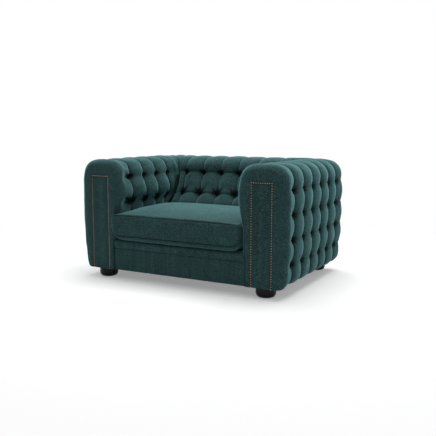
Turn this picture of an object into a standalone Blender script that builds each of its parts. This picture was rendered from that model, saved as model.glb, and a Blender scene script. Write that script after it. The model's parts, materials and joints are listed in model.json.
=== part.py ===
"""Tufted snuggle chair with a loose seat cushion, one object for each piece.

Metres, +Z up, front towards -Y, left is -X. Every piece is modelled in the chair body's own
coordinates: x from the centre line, y from the front plane of the arms, z from the underside of
the upholstery. One empty carries the body to its place above the floor.
"""
import math

import bmesh
import bpy
from mathutils import Vector

# Seat and arms
SEAT_WIDTH = 0.839
SEAT_DEPTH = 0.555
CUSHION_PROUD = 0.020
ARM_FRAME_WIDTH = 0.117
SIDE_PAD = 0.0517
OUTSIDE_PAD = 0.0717
INSIDE_SWELL = 0.0415
OUTSIDE_SWELL = 0.020
FLARE_HEIGHT = 0.260
HEM_ROUND = 0.030
BODY_HEIGHT = 0.6515
TOP_PAD = 0.099
TOP_ROLL = 0.1815
FOLD_RISE = 0.0035
TOP_SQUARENESS = 3.2
FRONT_ROUND = 0.045
FRONT_EDGE = 0.012

# Back
BACK_PAD = 0.2035
BACK_LEAN = 0.065
BACK_FRAME_DEPTH = 0.115
BACK_OUTSIDE_PAD = 0.0617
BACK_OUTSIDE_SWELL = 0.010
INNER_CORNER_RADIUS = 0.020
OUTER_CORNER_RADIUS = 0.060

# Tufting: pleats run up the inside, over the top and down the outside
ARM_INSIDE_FIRST = 0.162
ARM_INSIDE_PITCH = 0.1385
ARM_OUTSIDE_FIRST = 0.127
ARM_OUTSIDE_PITCH = 0.132
BACK_PITCH = 0.1315
INSIDE_ROWS = 2
INSIDE_ROW_DROP = 0.1065
INSIDE_ROW_PITCH = 0.135
OUTSIDE_ROWS = 4
OUTSIDE_ROW_DROP = 0.1335
OUTSIDE_ROW_PITCH = 0.133
PLEAT_DEPTH = 0.028
WAIST_DEPTH = 0.010
PIT_DEPTH = 0.012
PLEAT_FADE = 0.060
PLEAT_SPARE = 0.4

# Arm facings and nail strips
FACING_THICKNESS = 0.012
NAIL_STRIP_WIDTH = 0.010
NAIL_STRIP_PROUD = 0.004

# Front border, seat deck and cushion
RAIL_FRONT_Y = 0.006
RAIL_Y = 0.065
BORDER_HEIGHT = 0.050
DECK_THICKNESS = 0.0561
BORDER_ROUND = 0.018
SEAM_ROUND = 0.005
CUSHION_SIDE_GAP = 0.002
CUSHION_BELLY = 0.0297
CUSHION_BOXING = 0.1195
CROWN_RISE = 0.0615
CROWN_REACH = 0.220
CROWN_FULLNESS = 0.6
BELLY_REACH = 0.060
BELLY_SQUARENESS = 8.0
CUSHION_CORNER = 0.022
CUSHION_DRAW_IN = 0.005
SEAM_DRAW_IN = 0.007

# Hardwood frame
BOARD = 0.028
FRONT_BOARD = 0.018
RAIL_HEIGHT = 0.115
TACK_RAIL_HEIGHT = 0.060
BLOCK_HEIGHT = 0.045
BLOCK_LENGTH = 0.080
UPRIGHT_WIDTH = 0.050
STRETCHER_WIDTH = 0.040

# Springs
SPRINGS = 5
SPRING_SIDE_ROOM = 0.1195
SPRING_WIRE = 0.0038
SPRING_HALF_WIDTH = 0.025
SPRING_BENDS = 18
SPRING_END = 0.020
CLIP_WIDTH = 0.012
CLIP_LENGTH = 0.015
CLIP_PLATE = 0.0012

# Feet
FOOT_HEIGHT = 0.0630
FOOT_RADIUS = 0.056
FOOT_BASE_RADIUS = 0.036
FOOT_NECK_RADIUS = 0.052
FRONT_FOOT_Y = 0.068
REAR_FOOT_INSET = 0.0135
BOLT_RADIUS = 0.004
BOLT_DEPTH = 0.030
COVER_THICKNESS = 0.002
COVER_MARGIN = 0.018
FOOT_CLEARANCE = 0.006

# Clearances between pieces that touch
FIT = 0.0003
MITRE_GAP = 0.001

# Places that follow from the sizes above
INSIDE_X = SEAT_WIDTH / 2
SPRING_PITCH = (SEAT_WIDTH - 2 * SPRING_SIDE_ROOM) / (SPRINGS - 1)
FRAME_IN_X = INSIDE_X + SIDE_PAD
FRAME_OUT_X = FRAME_IN_X + ARM_FRAME_WIDTH
OUTSIDE_X = FRAME_OUT_X + OUTSIDE_PAD
ARM_MIDDLE_X = (FRAME_IN_X + FRAME_OUT_X) / 2
INSIDE_Y = SEAT_DEPTH - CUSHION_PROUD
FRAME_IN_Y = INSIDE_Y + BACK_PAD
FRAME_OUT_Y = FRAME_IN_Y + BACK_FRAME_DEPTH
OUTSIDE_Y = FRAME_OUT_Y + BACK_OUTSIDE_PAD
BODY_DEPTH = OUTSIDE_Y + BACK_OUTSIDE_SWELL
FRONT_Y = CUSHION_PROUD - (BODY_DEPTH + CUSHION_PROUD) / 2
CLIP_TOP = RAIL_HEIGHT + FIT + SPRING_WIRE + FIT + CLIP_PLATE
PAD_UNDERSIDE = CLIP_TOP + FIT
DECK_TOP = PAD_UNDERSIDE + DECK_THICKNESS
BORDER_SEAM = DECK_TOP - BORDER_HEIGHT
CUSHION_BOTTOM = DECK_TOP + FIT
CUSHION_LOW_SEAM = CUSHION_BOTTOM + CUSHION_BELLY
CUSHION_TOP_SEAM = CUSHION_LOW_SEAM + CUSHION_BOXING
FOLD_HEIGHT = CUSHION_TOP_SEAM + FOLD_RISE
FRAME_HEIGHT = BODY_HEIGHT - TOP_PAD
SHOULDER_HEIGHT = BODY_HEIGHT - TOP_ROLL
REAR_FOOT_Y = FRAME_OUT_Y - REAR_FOOT_INSET

# Levels of a pad's section: 0 to 1 plain inside, to 2 swell, to 3 and 4 over the top, to 5 outside
PLAIN_LEVELS = (0.0, 0.8, 1.0)
TOP_LEVELS = (2.3, 2.5, 2.75, 3.0, 3.25, 3.5, 3.7)
CHANNEL_LOW = TOP_LEVELS[1]
CHANNEL_HIGH = TOP_LEVELS[-2]
CROSSING_LEVELS = (2.4, 3.6)

# Where a cell between two pleats or two rows of tufts is sampled
PLEAT_STEPS = (0.0, 0.2, 0.5, 0.8)
MIDDLE_STEPS = (0.5, 0.8)
ROW_STEPS = (0.0, 0.3, 0.7)
HEM_STEPS = (1.0, 0.35)
FRONT_STEPS = (0.5, 0.515, 0.56, 0.66, 0.8, 0.92)
CORNER_STEPS = (0.0, 0.15, 0.3, 0.4, 0.5)
DIFFERENCE_STEP = 0.001

# Where the cushion is sampled: shares of its belly, boxing and crown, and points on each side
BELLY_STEPS = (0.0, 0.15, 0.5)
BOXING_STEPS = (0.0, 0.25, 0.6, 1.0)
CROWN_STEPS = (0.11, 0.34, 0.67, 1.0)
CUSHION_SIDE_STEPS = (10, 7)
CUSHION_CORNER_STEPS = 4

# Facets of turned pieces and of round edges
FOOT_SEGMENTS = 24
FOOT_RINGS = 8
BOLT_SEGMENTS = 12
BORDER_ROUND_STEPS = 5
SEAM_ROUND_STEPS = 3


def clear_scene():
    """Remove every object that is already in the scene."""
    for old in list(bpy.data.objects):
        bpy.data.objects.remove(old, do_unlink=True)


def make_material(name, colour, roughness, metallic=0.0):
    """Return a Principled material of one colour."""
    material = bpy.data.materials.new(name)
    material.use_nodes = True
    shader = material.node_tree.nodes["Principled BSDF"]
    shader.inputs["Base Color"].default_value = (*colour, 1.0)
    shader.inputs["Roughness"].default_value = roughness
    shader.inputs["Metallic"].default_value = metallic
    return material


def add_object(name, data, material, parent, smooth_angle=None):
    """Link one named piece under its parent, shaded smooth where an angle is given."""
    piece = bpy.data.objects.new(name, data)
    bpy.context.collection.objects.link(piece)
    piece.parent = parent
    if material:
        data.materials.append(material)
    if smooth_angle:
        data.shade_smooth()
        data.set_sharp_from_angle(angle=math.radians(smooth_angle))
    return piece


def mesh_from(name, points, faces):
    """Return a closed mesh whose faces point out."""
    mesh = bpy.data.meshes.new(name)
    mesh.from_pydata([tuple(point) for point in points], [], faces)
    work = bmesh.new()
    work.from_mesh(mesh)
    bmesh.ops.recalc_face_normals(work, faces=work.faces)
    work.to_mesh(mesh)
    work.free()
    return mesh


def box_mesh(name, low, high):
    """Return a box between two corners."""
    points = [(x, y, z) for x in (low[0], high[0]) for y in (low[1], high[1]) for z in (low[2], high[2])]
    faces = [(0, 1, 3, 2), (4, 6, 7, 5), (0, 4, 5, 1), (2, 3, 7, 6), (0, 2, 6, 4), (1, 5, 7, 3)]
    return mesh_from(name, points, faces)


def extruded_mesh(name, outline, axis, start, end):
    """Return an outline of 2-D points extruded along x, y or z from start to end."""
    def place(point, distance):
        coordinates = list(point)
        coordinates.insert("xyz".index(axis), distance)
        return coordinates

    count = len(outline)
    points = [place(point, start) for point in outline] + [place(point, end) for point in outline]
    faces = [(i, (i + 1) % count, count + (i + 1) % count, count + i) for i in range(count)]
    faces.append(tuple(range(count)))
    faces.append(tuple(range(count, 2 * count)))
    return mesh_from(name, points, faces)


def arc_points(centre, radius, start, end, steps):
    """Return points on an arc, angles in degrees."""
    angles = [math.radians(start + (end - start) * i / steps) for i in range(steps + 1)]
    return [(centre[0] + radius * math.cos(a), centre[1] + radius * math.sin(a)) for a in angles]


def mix(first, second, share):
    """Return the value a share of the way from first to second."""
    return first + (second - first) * share


def ease(value):
    """Return a smooth step from 0 to 1."""
    share = min(max(value, 0.0), 1.0)
    return share * share * (3.0 - 2.0 * share)


class Wing:
    """One straight run of tufted padding: half of the back, or an arm."""

    def __init__(self, inside, inside_shift, outside, swell, first_in, pitch_in, first_out, pitch_out):
        self.inside = inside
        self.inside_roll = inside + inside_shift
        self.outside = outside
        self.outside_roll = outside + swell
        self.crest = (self.inside_roll + self.outside_roll) / 2
        self.first_in = first_in
        self.pitch_in = pitch_in
        self.first_out = first_out
        self.pitch_out = pitch_out
        self.crossing = None
        self.is_arm = False
        self.lines_in = 0
        self.lines_out = 0

    def meet(self, other, is_arm):
        """Note the wing that this one meets at the corner, and count the pleats up to it."""
        self.crossing = other
        self.is_arm = is_arm
        self.lines_in = 1 + int((other.inside - self.first_in) / self.pitch_in - PLEAT_SPARE)
        self.lines_out = 1 + int((other.outside_roll - self.first_out) / self.pitch_out - PLEAT_SPARE)

    def end(self):
        """Return the cell coordinate of the corner's mitre."""
        return self.lines_out + 0.5

    def across(self, level, inset=0.0):
        """Return the place across the padding and the height at a level of the section.

        Levels run 0 to 1 up the plain inside, to 2 up the swell, to 3 over the inside of the
        top, to 4 over the outside of the top and to 5 down the outside and under the hem.
        """
        top = BODY_HEIGHT - inset - SHOULDER_HEIGHT
        if level <= 1.0:
            return self.inside + inset, FOLD_HEIGHT * level
        if level <= 2.0:
            swell = (self.inside_roll - self.inside) * ease(level - 1.0)
            return self.inside + swell + inset, mix(FOLD_HEIGHT, SHOULDER_HEIGHT, level - 1.0)
        if level <= 4.0:
            edge = self.inside_roll + inset if level <= 3.0 else self.outside_roll - inset
            turn = math.pi / 2 * (level - 2.0 if level <= 3.0 else 4.0 - level)
            reach = math.cos(turn) ** (2.0 / TOP_SQUARENESS) if turn < math.pi / 2 - 1e-9 else 0.0
            rise = math.sin(turn) ** (2.0 / TOP_SQUARENESS)
            return self.crest + (edge - self.crest) * reach, SHOULDER_HEIGHT + top * rise
        height = SHOULDER_HEIGHT * (5.0 - level)
        flare = math.sin(math.pi / 2 * min(height / FLARE_HEIGHT, 1.0))
        edge = self.outside + (self.outside_roll - self.outside) * flare
        return edge - inset - hem_inset(height), height

    def corner_at(self, level):
        """Return the corner's place, its radius and the length of the run up to the mitre."""
        corner = self.crossing.across(level)[0]
        radius = mix(INNER_CORNER_RADIUS, OUTER_CORNER_RADIUS, ease((level - 2.0) / 2.0))
        return corner, radius, corner - radius + radius * math.pi / 4 - MITRE_GAP / 2

    def along(self, cell, level):
        """Return the distance along the run and the corner's place and radius at this level.

        Pleats that have no fellow on the inside fan in to the inside corner over the top.
        """
        corner, radius, total = self.corner_at(level)
        share = outside_share(level)
        inside = self.pleat_place(cell, self.first_in, self.pitch_in, self.lines_in, total)
        outside = self.pleat_place(cell, self.first_out, self.pitch_out, self.lines_out, total)
        if cell <= self.lines_in or level >= 4.0:
            return mix(inside, outside, share), corner, radius
        widest = self.corner_at(4.0)[2]
        last_in = self.first_in + self.pitch_in * (self.lines_in - 1)
        last_out = self.first_out + self.pitch_out * (self.lines_in - 1)
        place_out = self.pleat_place(cell, self.first_out, self.pitch_out, self.lines_out, widest)
        inside_part = (inside - last_in) / (total - last_in)
        outside_part = (place_out - last_out) / (widest - last_out)
        start = mix(last_in, last_out, share)
        return start + (total - start) * mix(inside_part, outside_part, share), corner, radius

    def pleat_place(self, cell, first, pitch, lines, total):
        """Return how far along the run a cell coordinate lies."""
        if cell <= 1.0:
            return first * (cell - 0.5) / 0.5
        last = first + pitch * (lines - 1)
        if cell <= lines:
            return first + pitch * (cell - 1.0)
        return last + (total - last) * (cell - lines) / (self.end() - lines)

    def base(self, cell, level):
        """Return the point on the padding before it is tufted."""
        run, corner, radius = self.along(cell, level)
        inset = 0.0
        if self.is_arm and run < FRONT_ROUND:
            widest = min(FRONT_ROUND, OUTSIDE_PAD - NAIL_STRIP_WIDTH)
            edge = mix(FRONT_EDGE, widest, ease(level - 1.0))
            inset = edge * (1.0 - math.sqrt(1.0 - (1.0 - run / FRONT_ROUND) ** 2))
        across, height = self.across(level, inset)
        turn = max((run - (corner - radius)) / radius, 0.0)
        if turn > 0.0:
            run = corner - radius + radius * math.sin(turn)
            across -= radius * (1.0 - math.cos(turn))
        return Vector((across, run, height)) if self.is_arm else Vector((run, across, height))

    def depth(self, cell, level):
        """Return how deep the pleats, waists and tufts draw the cover in."""
        spread = self.end() - self.lines_in
        inside_phase = cell % 1.0 if cell <= self.lines_in else (cell - self.lines_in) / spread
        inside = tuft_depth(crease(inside_phase), crease(row_phase(level)))
        outside = tuft_depth(crease(cell % 1.0), crease(row_phase(level)))
        height = self.across(level)[1]
        fade = 1.0 if level > 2.0 else ease((height - FOLD_HEIGHT + PLEAT_FADE) / (1.5 * PLEAT_FADE))
        if self.is_arm:
            fade *= ease(self.along(cell, level)[0] / FRONT_ROUND)
        return mix(inside, outside, outside_share(level)) * fade

    def skin(self, cell, level):
        """Return the point on the tufted cover."""
        cell_low = max(cell - DIFFERENCE_STEP, 0.5)
        cell_high = min(cell + DIFFERENCE_STEP, self.end())
        level_low = max(level - DIFFERENCE_STEP, 0.0)
        level_high = min(level + DIFFERENCE_STEP, 5.0)
        over = self.base(cell, level_high) - self.base(cell, level_low)
        forth = self.base(cell_high, level) - self.base(cell_low, level)
        out = over.cross(forth).normalized()
        if not self.is_arm:
            out.negate()
        if level in (0.0, 5.0):
            out.z = 0.0
        return self.base(cell, level) - out * self.depth(cell, level)


def hem_inset(height):
    """Return how far the outside is drawn in where it turns under the frame."""
    rest = max(1.0 - height / HEM_ROUND, 0.0)
    return HEM_ROUND * (1.0 - math.sqrt(1.0 - rest * rest))


def outside_share(level):
    """Return 0 on the inside of a section and 1 on its outside."""
    start, stop = CROSSING_LEVELS
    return ease((level - start) / (stop - start))


def crease(phase):
    """Return 1 in a pleat or row and 0 half-way to the next, with a sharp valley."""
    return 1.0 - math.sqrt(abs(math.sin(math.pi * phase)))


def tuft_depth(pleat, row):
    """Return the depth of the cover under a pleat, a waist between rows, and a tuft."""
    return PLEAT_DEPTH * pleat + WAIST_DEPTH * row * (1.0 - pleat) + PIT_DEPTH * (pleat * row) ** 2


def inside_level(height):
    """Return the level of a height on the inside of a section."""
    if height <= FOLD_HEIGHT:
        return height / FOLD_HEIGHT
    if height <= SHOULDER_HEIGHT:
        return 1.0 + (height - FOLD_HEIGHT) / (SHOULDER_HEIGHT - FOLD_HEIGHT)
    rise = (height - SHOULDER_HEIGHT) / (BODY_HEIGHT - SHOULDER_HEIGHT)
    return 2.0 + math.asin(rise ** (TOP_SQUARENESS / 2.0)) / (math.pi / 2)


def outside_level(height):
    """Return the level of a height on the outside of a section."""
    if height <= SHOULDER_HEIGHT:
        return 5.0 - height / SHOULDER_HEIGHT
    return 6.0 - inside_level(height)


def row_levels():
    """Return the levels of the rows of tufts, from the seat over the top to the underside."""
    inside = [BODY_HEIGHT - INSIDE_ROW_DROP - INSIDE_ROW_PITCH * row for row in reversed(range(INSIDE_ROWS))]
    outside = [BODY_HEIGHT - OUTSIDE_ROW_DROP - OUTSIDE_ROW_PITCH * row for row in range(OUTSIDE_ROWS)]
    return [inside_level(height) for height in inside] + [outside_level(height) for height in outside]


def row_phase(level):
    """Return how far a level lies between two rows, whole numbers being rows."""
    rows = row_levels()
    plain = min(1.0, rows[0] / 2)
    if level <= plain:
        return 0.5
    if level <= rows[0]:
        return 1.0 - 0.5 * (rows[0] - level) / (rows[0] - plain)
    if level >= rows[-1]:
        return 0.5 * (level - rows[-1]) / (5.0 - rows[-1])
    for low, high in zip(rows, rows[1:]):
        if level <= high:
            return (level - low) / (high - low)
    return 0.5


def section_levels():
    """Return the levels at which a pad is sampled."""
    rows = row_levels()
    levels = [*PLAIN_LEVELS, (1.0 + rows[0]) / 2]
    for low, high in zip(rows, rows[1:]):
        steps = (low, *TOP_LEVELS) if low < 3.0 < high else [mix(low, high, step) for step in ROW_STEPS]
        levels += steps
    levels += [rows[-1], *[outside_level(HEM_ROUND * step) for step in HEM_STEPS], 5.0]
    return sorted(set(levels))


def wing_cells(wing):
    """Return the cell coordinates at which a wing is sampled, from its start to the corner."""
    first = list(FRONT_STEPS if wing.is_arm else MIDDLE_STEPS)
    cells = [cell + step for cell in range(1, wing.lines_out) for step in PLEAT_STEPS]
    return first + cells + [wing.lines_out + step for step in CORNER_STEPS]


def channel_point(level, wing_low, wing_high):
    """Return the place across and the height on the frame's channel at a level."""
    if level <= 1.0:
        return wing_low, FOLD_HEIGHT * level
    if level <= CHANNEL_LOW:
        return wing_low, mix(FOLD_HEIGHT, FRAME_HEIGHT, (level - 1.0) / (CHANNEL_LOW - 1.0))
    if level <= CHANNEL_HIGH:
        return mix(wing_low, wing_high, roof_share(level)), FRAME_HEIGHT
    return wing_high, FRAME_HEIGHT * (5.0 - level) / (5.0 - CHANNEL_HIGH)


def roof_share(level):
    """Return how far a level lies across the channel's roof, from its inside to its outside."""
    return min(max((level - CHANNEL_LOW) / (CHANNEL_HIGH - CHANNEL_LOW), 0.0), 1.0)


def pad_mesh(name, skin, channel):
    """Return a pad from its cover, a grid of points, and the channel that holds the frame.

    channel gives a point for the first and the last column, and for the bottom row on each side.
    """
    columns = len(skin)
    rows = len(skin[0])
    points = [point for column in skin for point in column]
    faces = []
    for i in range(columns - 1):
        for j in range(rows - 1):
            start = i * rows + j
            faces.append((start, start + rows, start + rows + 1, start + 1))
    rim = [(0, j) for j in range(rows)]
    rim += [(i, rows - 1) for i in range(1, columns)]
    rim += [(columns - 1, j) for j in range(rows - 2, -1, -1)]
    rim += [(i, 0) for i in range(columns - 2, 0, -1)]
    inner = {}
    for place in rim:
        inner[place] = len(points)
        points.append(channel(*place))
    for pair in zip(rim, rim[1:] + rim[:1]):
        low, high = sorted(pair)
        cover = (low[0] * rows + low[1], high[0] * rows + high[1])
        faces.append((cover[0], cover[1], inner[high]))
        faces.append((cover[0], inner[high], inner[low]))
    levels = section_levels()
    low = levels.index(CHANNEL_LOW)
    high = levels.index(CHANNEL_HIGH)
    last = columns - 1
    walls = [
        [(0, j) for j in range(low + 1)] + [(last, j) for j in range(low, -1, -1)]
        + [(i, 0) for i in range(last - 1, 0, -1)],
        [(0, j) for j in range(low, high + 1)] + [(last, j) for j in range(high, low - 1, -1)],
        [(0, j) for j in range(high, rows)] + [(i, rows - 1) for i in range(1, last)]
        + [(last, j) for j in range(rows - 1, high - 1, -1)],
    ]
    for wall in walls:
        corners = [Vector(points[inner[place]]) for place in wall]
        points.append(sum(corners, Vector()) / len(corners))
        middle = len(points) - 1
        for place, after in zip(wall, wall[1:] + wall[:1]):
            faces.append((inner[place], inner[after], middle))
    return mesh_from(name, points, faces)


def arm_pad_mesh(name, arm, side):
    """Return one arm's tufted pad; side is -1 for the left arm and 1 for the right."""
    levels = section_levels()
    cells = wing_cells(arm)
    skin = [[arm.skin(cell, level) for level in levels] for cell in cells]

    def channel(i, j):
        across, height = channel_point(levels[j], FRAME_IN_X, FRAME_OUT_X)
        end = mix(FRAME_IN_Y, FRAME_OUT_Y, roof_share(levels[j])) - MITRE_GAP / 2
        run = skin[i][j].y / skin[-1][j].y * end
        return Vector((across, run, height))

    mirror = Vector((side, 1.0, 1.0))
    skin_points = [[point * mirror for point in column] for column in skin]
    return pad_mesh(name, skin_points, lambda i, j: channel(i, j) * mirror)


def back_pad_mesh(name, back):
    """Return the back's tufted pad, from one mitre to the other."""
    levels = section_levels()
    right = [[back.skin(cell, level) for level in levels] for cell in wing_cells(back)]
    left = [[point * Vector((-1.0, 1.0, 1.0)) for point in column] for column in reversed(right)]
    skin = left + right[1:]

    def lifted(point):
        return Vector((point.x, point.y, max(point.z, PAD_UNDERSIDE)))

    def channel(i, j):
        across, height = channel_point(levels[j], FRAME_IN_Y, FRAME_OUT_Y)
        end = mix(FRAME_IN_X, FRAME_OUT_X, roof_share(levels[j])) - MITRE_GAP / 2
        run = skin[i][j].x / skin[-1][j].x * end
        point = Vector((run, across, height))
        return lifted(point) if levels[j] < CHANNEL_LOW else point

    inside = levels.index(CHANNEL_LOW)
    for column in skin:
        column[:inside] = [lifted(point) for point in column[:inside]]
    return pad_mesh(name, skin, channel)


def cut_under(pad, side, parent):
    """Cut the lower inside of an arm pad away behind its front, where the seat's rails pass."""
    low = (FRAME_IN_X - 2 * SIDE_PAD, RAIL_Y - FIT, -BOARD)
    high = (FRAME_IN_X + BOARD, BODY_DEPTH, PAD_UNDERSIDE)
    corners = [(side * low[0], low[1], low[2]), (side * high[0], high[1], high[2])]
    cutter = add_object(pad.name + "_cutter", box_mesh(pad.name + "_cutter", *corners), None, parent)
    cutter.hide_render = True
    cutter.display_type = "WIRE"
    cut = pad.modifiers.new("rail_passage", "BOOLEAN")
    cut.operation = "DIFFERENCE"
    cut.object = cutter


def add_upholstery(body, velvet):
    """Add the tufted arms and back."""
    arm = Wing(INSIDE_X, -INSIDE_SWELL, OUTSIDE_X, OUTSIDE_SWELL,
               ARM_INSIDE_FIRST, ARM_INSIDE_PITCH, ARM_OUTSIDE_FIRST, ARM_OUTSIDE_PITCH)
    back = Wing(INSIDE_Y, BACK_LEAN, OUTSIDE_Y, BACK_OUTSIDE_SWELL,
                BACK_PITCH / 2, BACK_PITCH, BACK_PITCH / 2, BACK_PITCH)
    arm.meet(back, True)
    back.meet(arm, False)
    for word, side in (("left", -1), ("right", 1)):
        name = word + "_arm_pad"
        pad = add_object(name, arm_pad_mesh(name, arm, side), velvet, body, 60)
        cut_under(pad, side, body)
    add_object("back_pad", back_pad_mesh("back_pad", back), velvet, body, 60)


def nail_outline(margin):
    """Return the upside-down U of a nail strip's outer or inner edge, as x from the arm's middle and z."""
    half = ARM_FRAME_WIDTH / 2 + margin
    top = FRAME_HEIGHT + margin
    return [(-half, 0.0), (-half, top), (half, top), (half, 0.0)]


def add_facings(body, velvet, brass):
    """Add the plain front panel of each arm and the strip of nails round it."""
    for word, side in (("left", -1), ("right", 1)):
        middle = side * ARM_MIDDLE_X
        half = ARM_FRAME_WIDTH / 2 - FIT
        name = word + "_arm_facing"
        low = (middle - half, 0.0, 0.0)
        high = (middle + half, FACING_THICKNESS, FRAME_HEIGHT - FIT)
        add_object(name, box_mesh(name, low, high), velvet, body)
        outline = nail_outline(NAIL_STRIP_WIDTH / 2) + nail_outline(-NAIL_STRIP_WIDTH / 2)[::-1]
        outline = [(middle + x, z) for x, z in outline]
        name = word + "_nail_strip"
        add_object(name, extruded_mesh(name, outline, "y", -NAIL_STRIP_PROUD, -FIT), brass, body)


def add_seat_front(body, velvet):
    """Add the band at the front of the deck and the plain panel under it."""
    half = INSIDE_X - FIT
    rear = RAIL_Y - FIT
    band = arc_points((RAIL_FRONT_Y + BORDER_ROUND, DECK_TOP - BORDER_ROUND), BORDER_ROUND, 180, 90,
                      BORDER_ROUND_STEPS)
    band += [(rear, DECK_TOP), (rear, BORDER_SEAM)]
    band += arc_points((RAIL_FRONT_Y + SEAM_ROUND, BORDER_SEAM + SEAM_ROUND), SEAM_ROUND, 270, 180,
                       SEAM_ROUND_STEPS)
    add_object("front_border", extruded_mesh("front_border", band, "x", -half, half), velvet, body, 40)
    top = BORDER_SEAM - FIT
    panel = arc_points((RAIL_FRONT_Y + SEAM_ROUND, top - SEAM_ROUND), SEAM_ROUND, 180, 90, SEAM_ROUND_STEPS)
    panel += [(rear, top), (rear, 0.0)]
    panel += arc_points((RAIL_FRONT_Y + SEAM_ROUND, SEAM_ROUND), SEAM_ROUND, 270, 180, SEAM_ROUND_STEPS)
    add_object("front_panel", extruded_mesh("front_panel", panel, "x", -half, half), velvet, body, 40)


def add_deck(body, velvet):
    """Add the seat deck that lies on the springs, its rear corners cut clear of the back."""
    half = INSIDE_X - FIT
    rear = INSIDE_Y - FIT
    corner = INNER_CORNER_RADIUS
    outline = [(-half, RAIL_Y), (half, RAIL_Y), (half, rear - corner), (half - corner, rear)]
    outline += [(corner - half, rear), (-half, rear - corner)]
    add_object("deck_pad", extruded_mesh("deck_pad", outline, "z", PAD_UNDERSIDE, DECK_TOP), velvet, body)


def cushion_outline(half_width, half_depth, radius, draw_in):
    """Return a rectangle with round corners whose sides are drawn in between the corners."""
    points = []
    for quarter in range(4):
        turn = math.pi / 2 * quarter
        reach = (half_width, half_depth) if quarter % 2 == 0 else (half_depth, half_width)
        forward = Vector((math.cos(turn), math.sin(turn)))
        left = Vector((-forward.y, forward.x))
        straight = reach[1] - radius
        steps = CUSHION_SIDE_STEPS[(quarter + 1) % 2]
        for i in range(steps):
            share = i / steps
            along = mix(-straight, straight, share)
            points.append(forward * (reach[0] - draw_in * math.sin(math.pi * share)) + left * along)
        centre = forward * (reach[0] - radius) + left * straight
        for i in range(CUSHION_CORNER_STEPS):
            angle = turn + math.pi / 2 * i / CUSHION_CORNER_STEPS
            points.append(centre + Vector((math.cos(angle), math.sin(angle))) * radius)
    return points


def cushion_rings(crown_reach):
    """Return the cushion's section as inset from its widest outline, height and side draw-in."""
    rings = []
    for share in BELLY_STEPS:
        inset = BELLY_REACH * (1.0 - share) ** BELLY_SQUARENESS
        rings.append((inset, CUSHION_BOTTOM + CUSHION_BELLY * share, CUSHION_DRAW_IN * share))
    for share in BOXING_STEPS:
        swell = math.sin(math.pi * share)
        inset = SEAM_DRAW_IN * (1.0 - math.sqrt(abs(swell)))
        rings.append((inset, CUSHION_LOW_SEAM + CUSHION_BOXING * share, CUSHION_DRAW_IN * (1.0 - swell)))
    for share in CROWN_STEPS:
        rise = CROWN_RISE * math.sin(math.pi / 2 * share) ** CROWN_FULLNESS
        inset = mix(SEAM_DRAW_IN, crown_reach, share)
        rings.append((inset, CUSHION_TOP_SEAM + rise, CUSHION_DRAW_IN * (1.0 - share)))
    return rings


def add_cushion(body, velvet):
    """Add the loose seat cushion, with its origin on the deck at the middle of its base."""
    half_width = INSIDE_X - CUSHION_SIDE_GAP
    rear = INSIDE_Y - CUSHION_SIDE_GAP
    half_depth = (rear + CUSHION_PROUD) / 2
    corner = max(CUSHION_CORNER, INNER_CORNER_RADIUS)
    rings = cushion_rings(min(CROWN_REACH, half_depth - 2 * corner))
    points = []
    for inset, height, draw_in in rings:
        outline = cushion_outline(half_width - inset, half_depth - inset, corner, draw_in)
        points += [(point.x, point.y, height - CUSHION_BOTTOM) for point in outline]
    count = len(points) // len(rings)
    faces = []
    for ring in range(len(rings) - 1):
        for i in range(count):
            after = (i + 1) % count
            start = ring * count
            faces.append((start + i, start + after, start + count + after, start + count + i))
    points.append((0.0, 0.0, rings[0][1] - CUSHION_BOTTOM))
    points.append((0.0, 0.0, rings[-1][1] - CUSHION_BOTTOM))
    last = (len(rings) - 1) * count
    for i in range(count):
        after = (i + 1) % count
        faces.append((after, i, len(points) - 2))
        faces.append((last + i, last + after, len(points) - 1))
    cushion = add_object("seat_cushion", mesh_from("seat_cushion", points, faces), velvet, body, 60)
    cushion.location = (0.0, rear - half_depth, CUSHION_BOTTOM)


def add_board(name, low, high, wood, body):
    """Add one board, held a fit's clearance inside its bounds."""
    low_corner = [value + FIT for value in low]
    high_corner = [value - FIT for value in high]
    add_object(name, box_mesh(name, low_corner, high_corner), wood, body)


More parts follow.
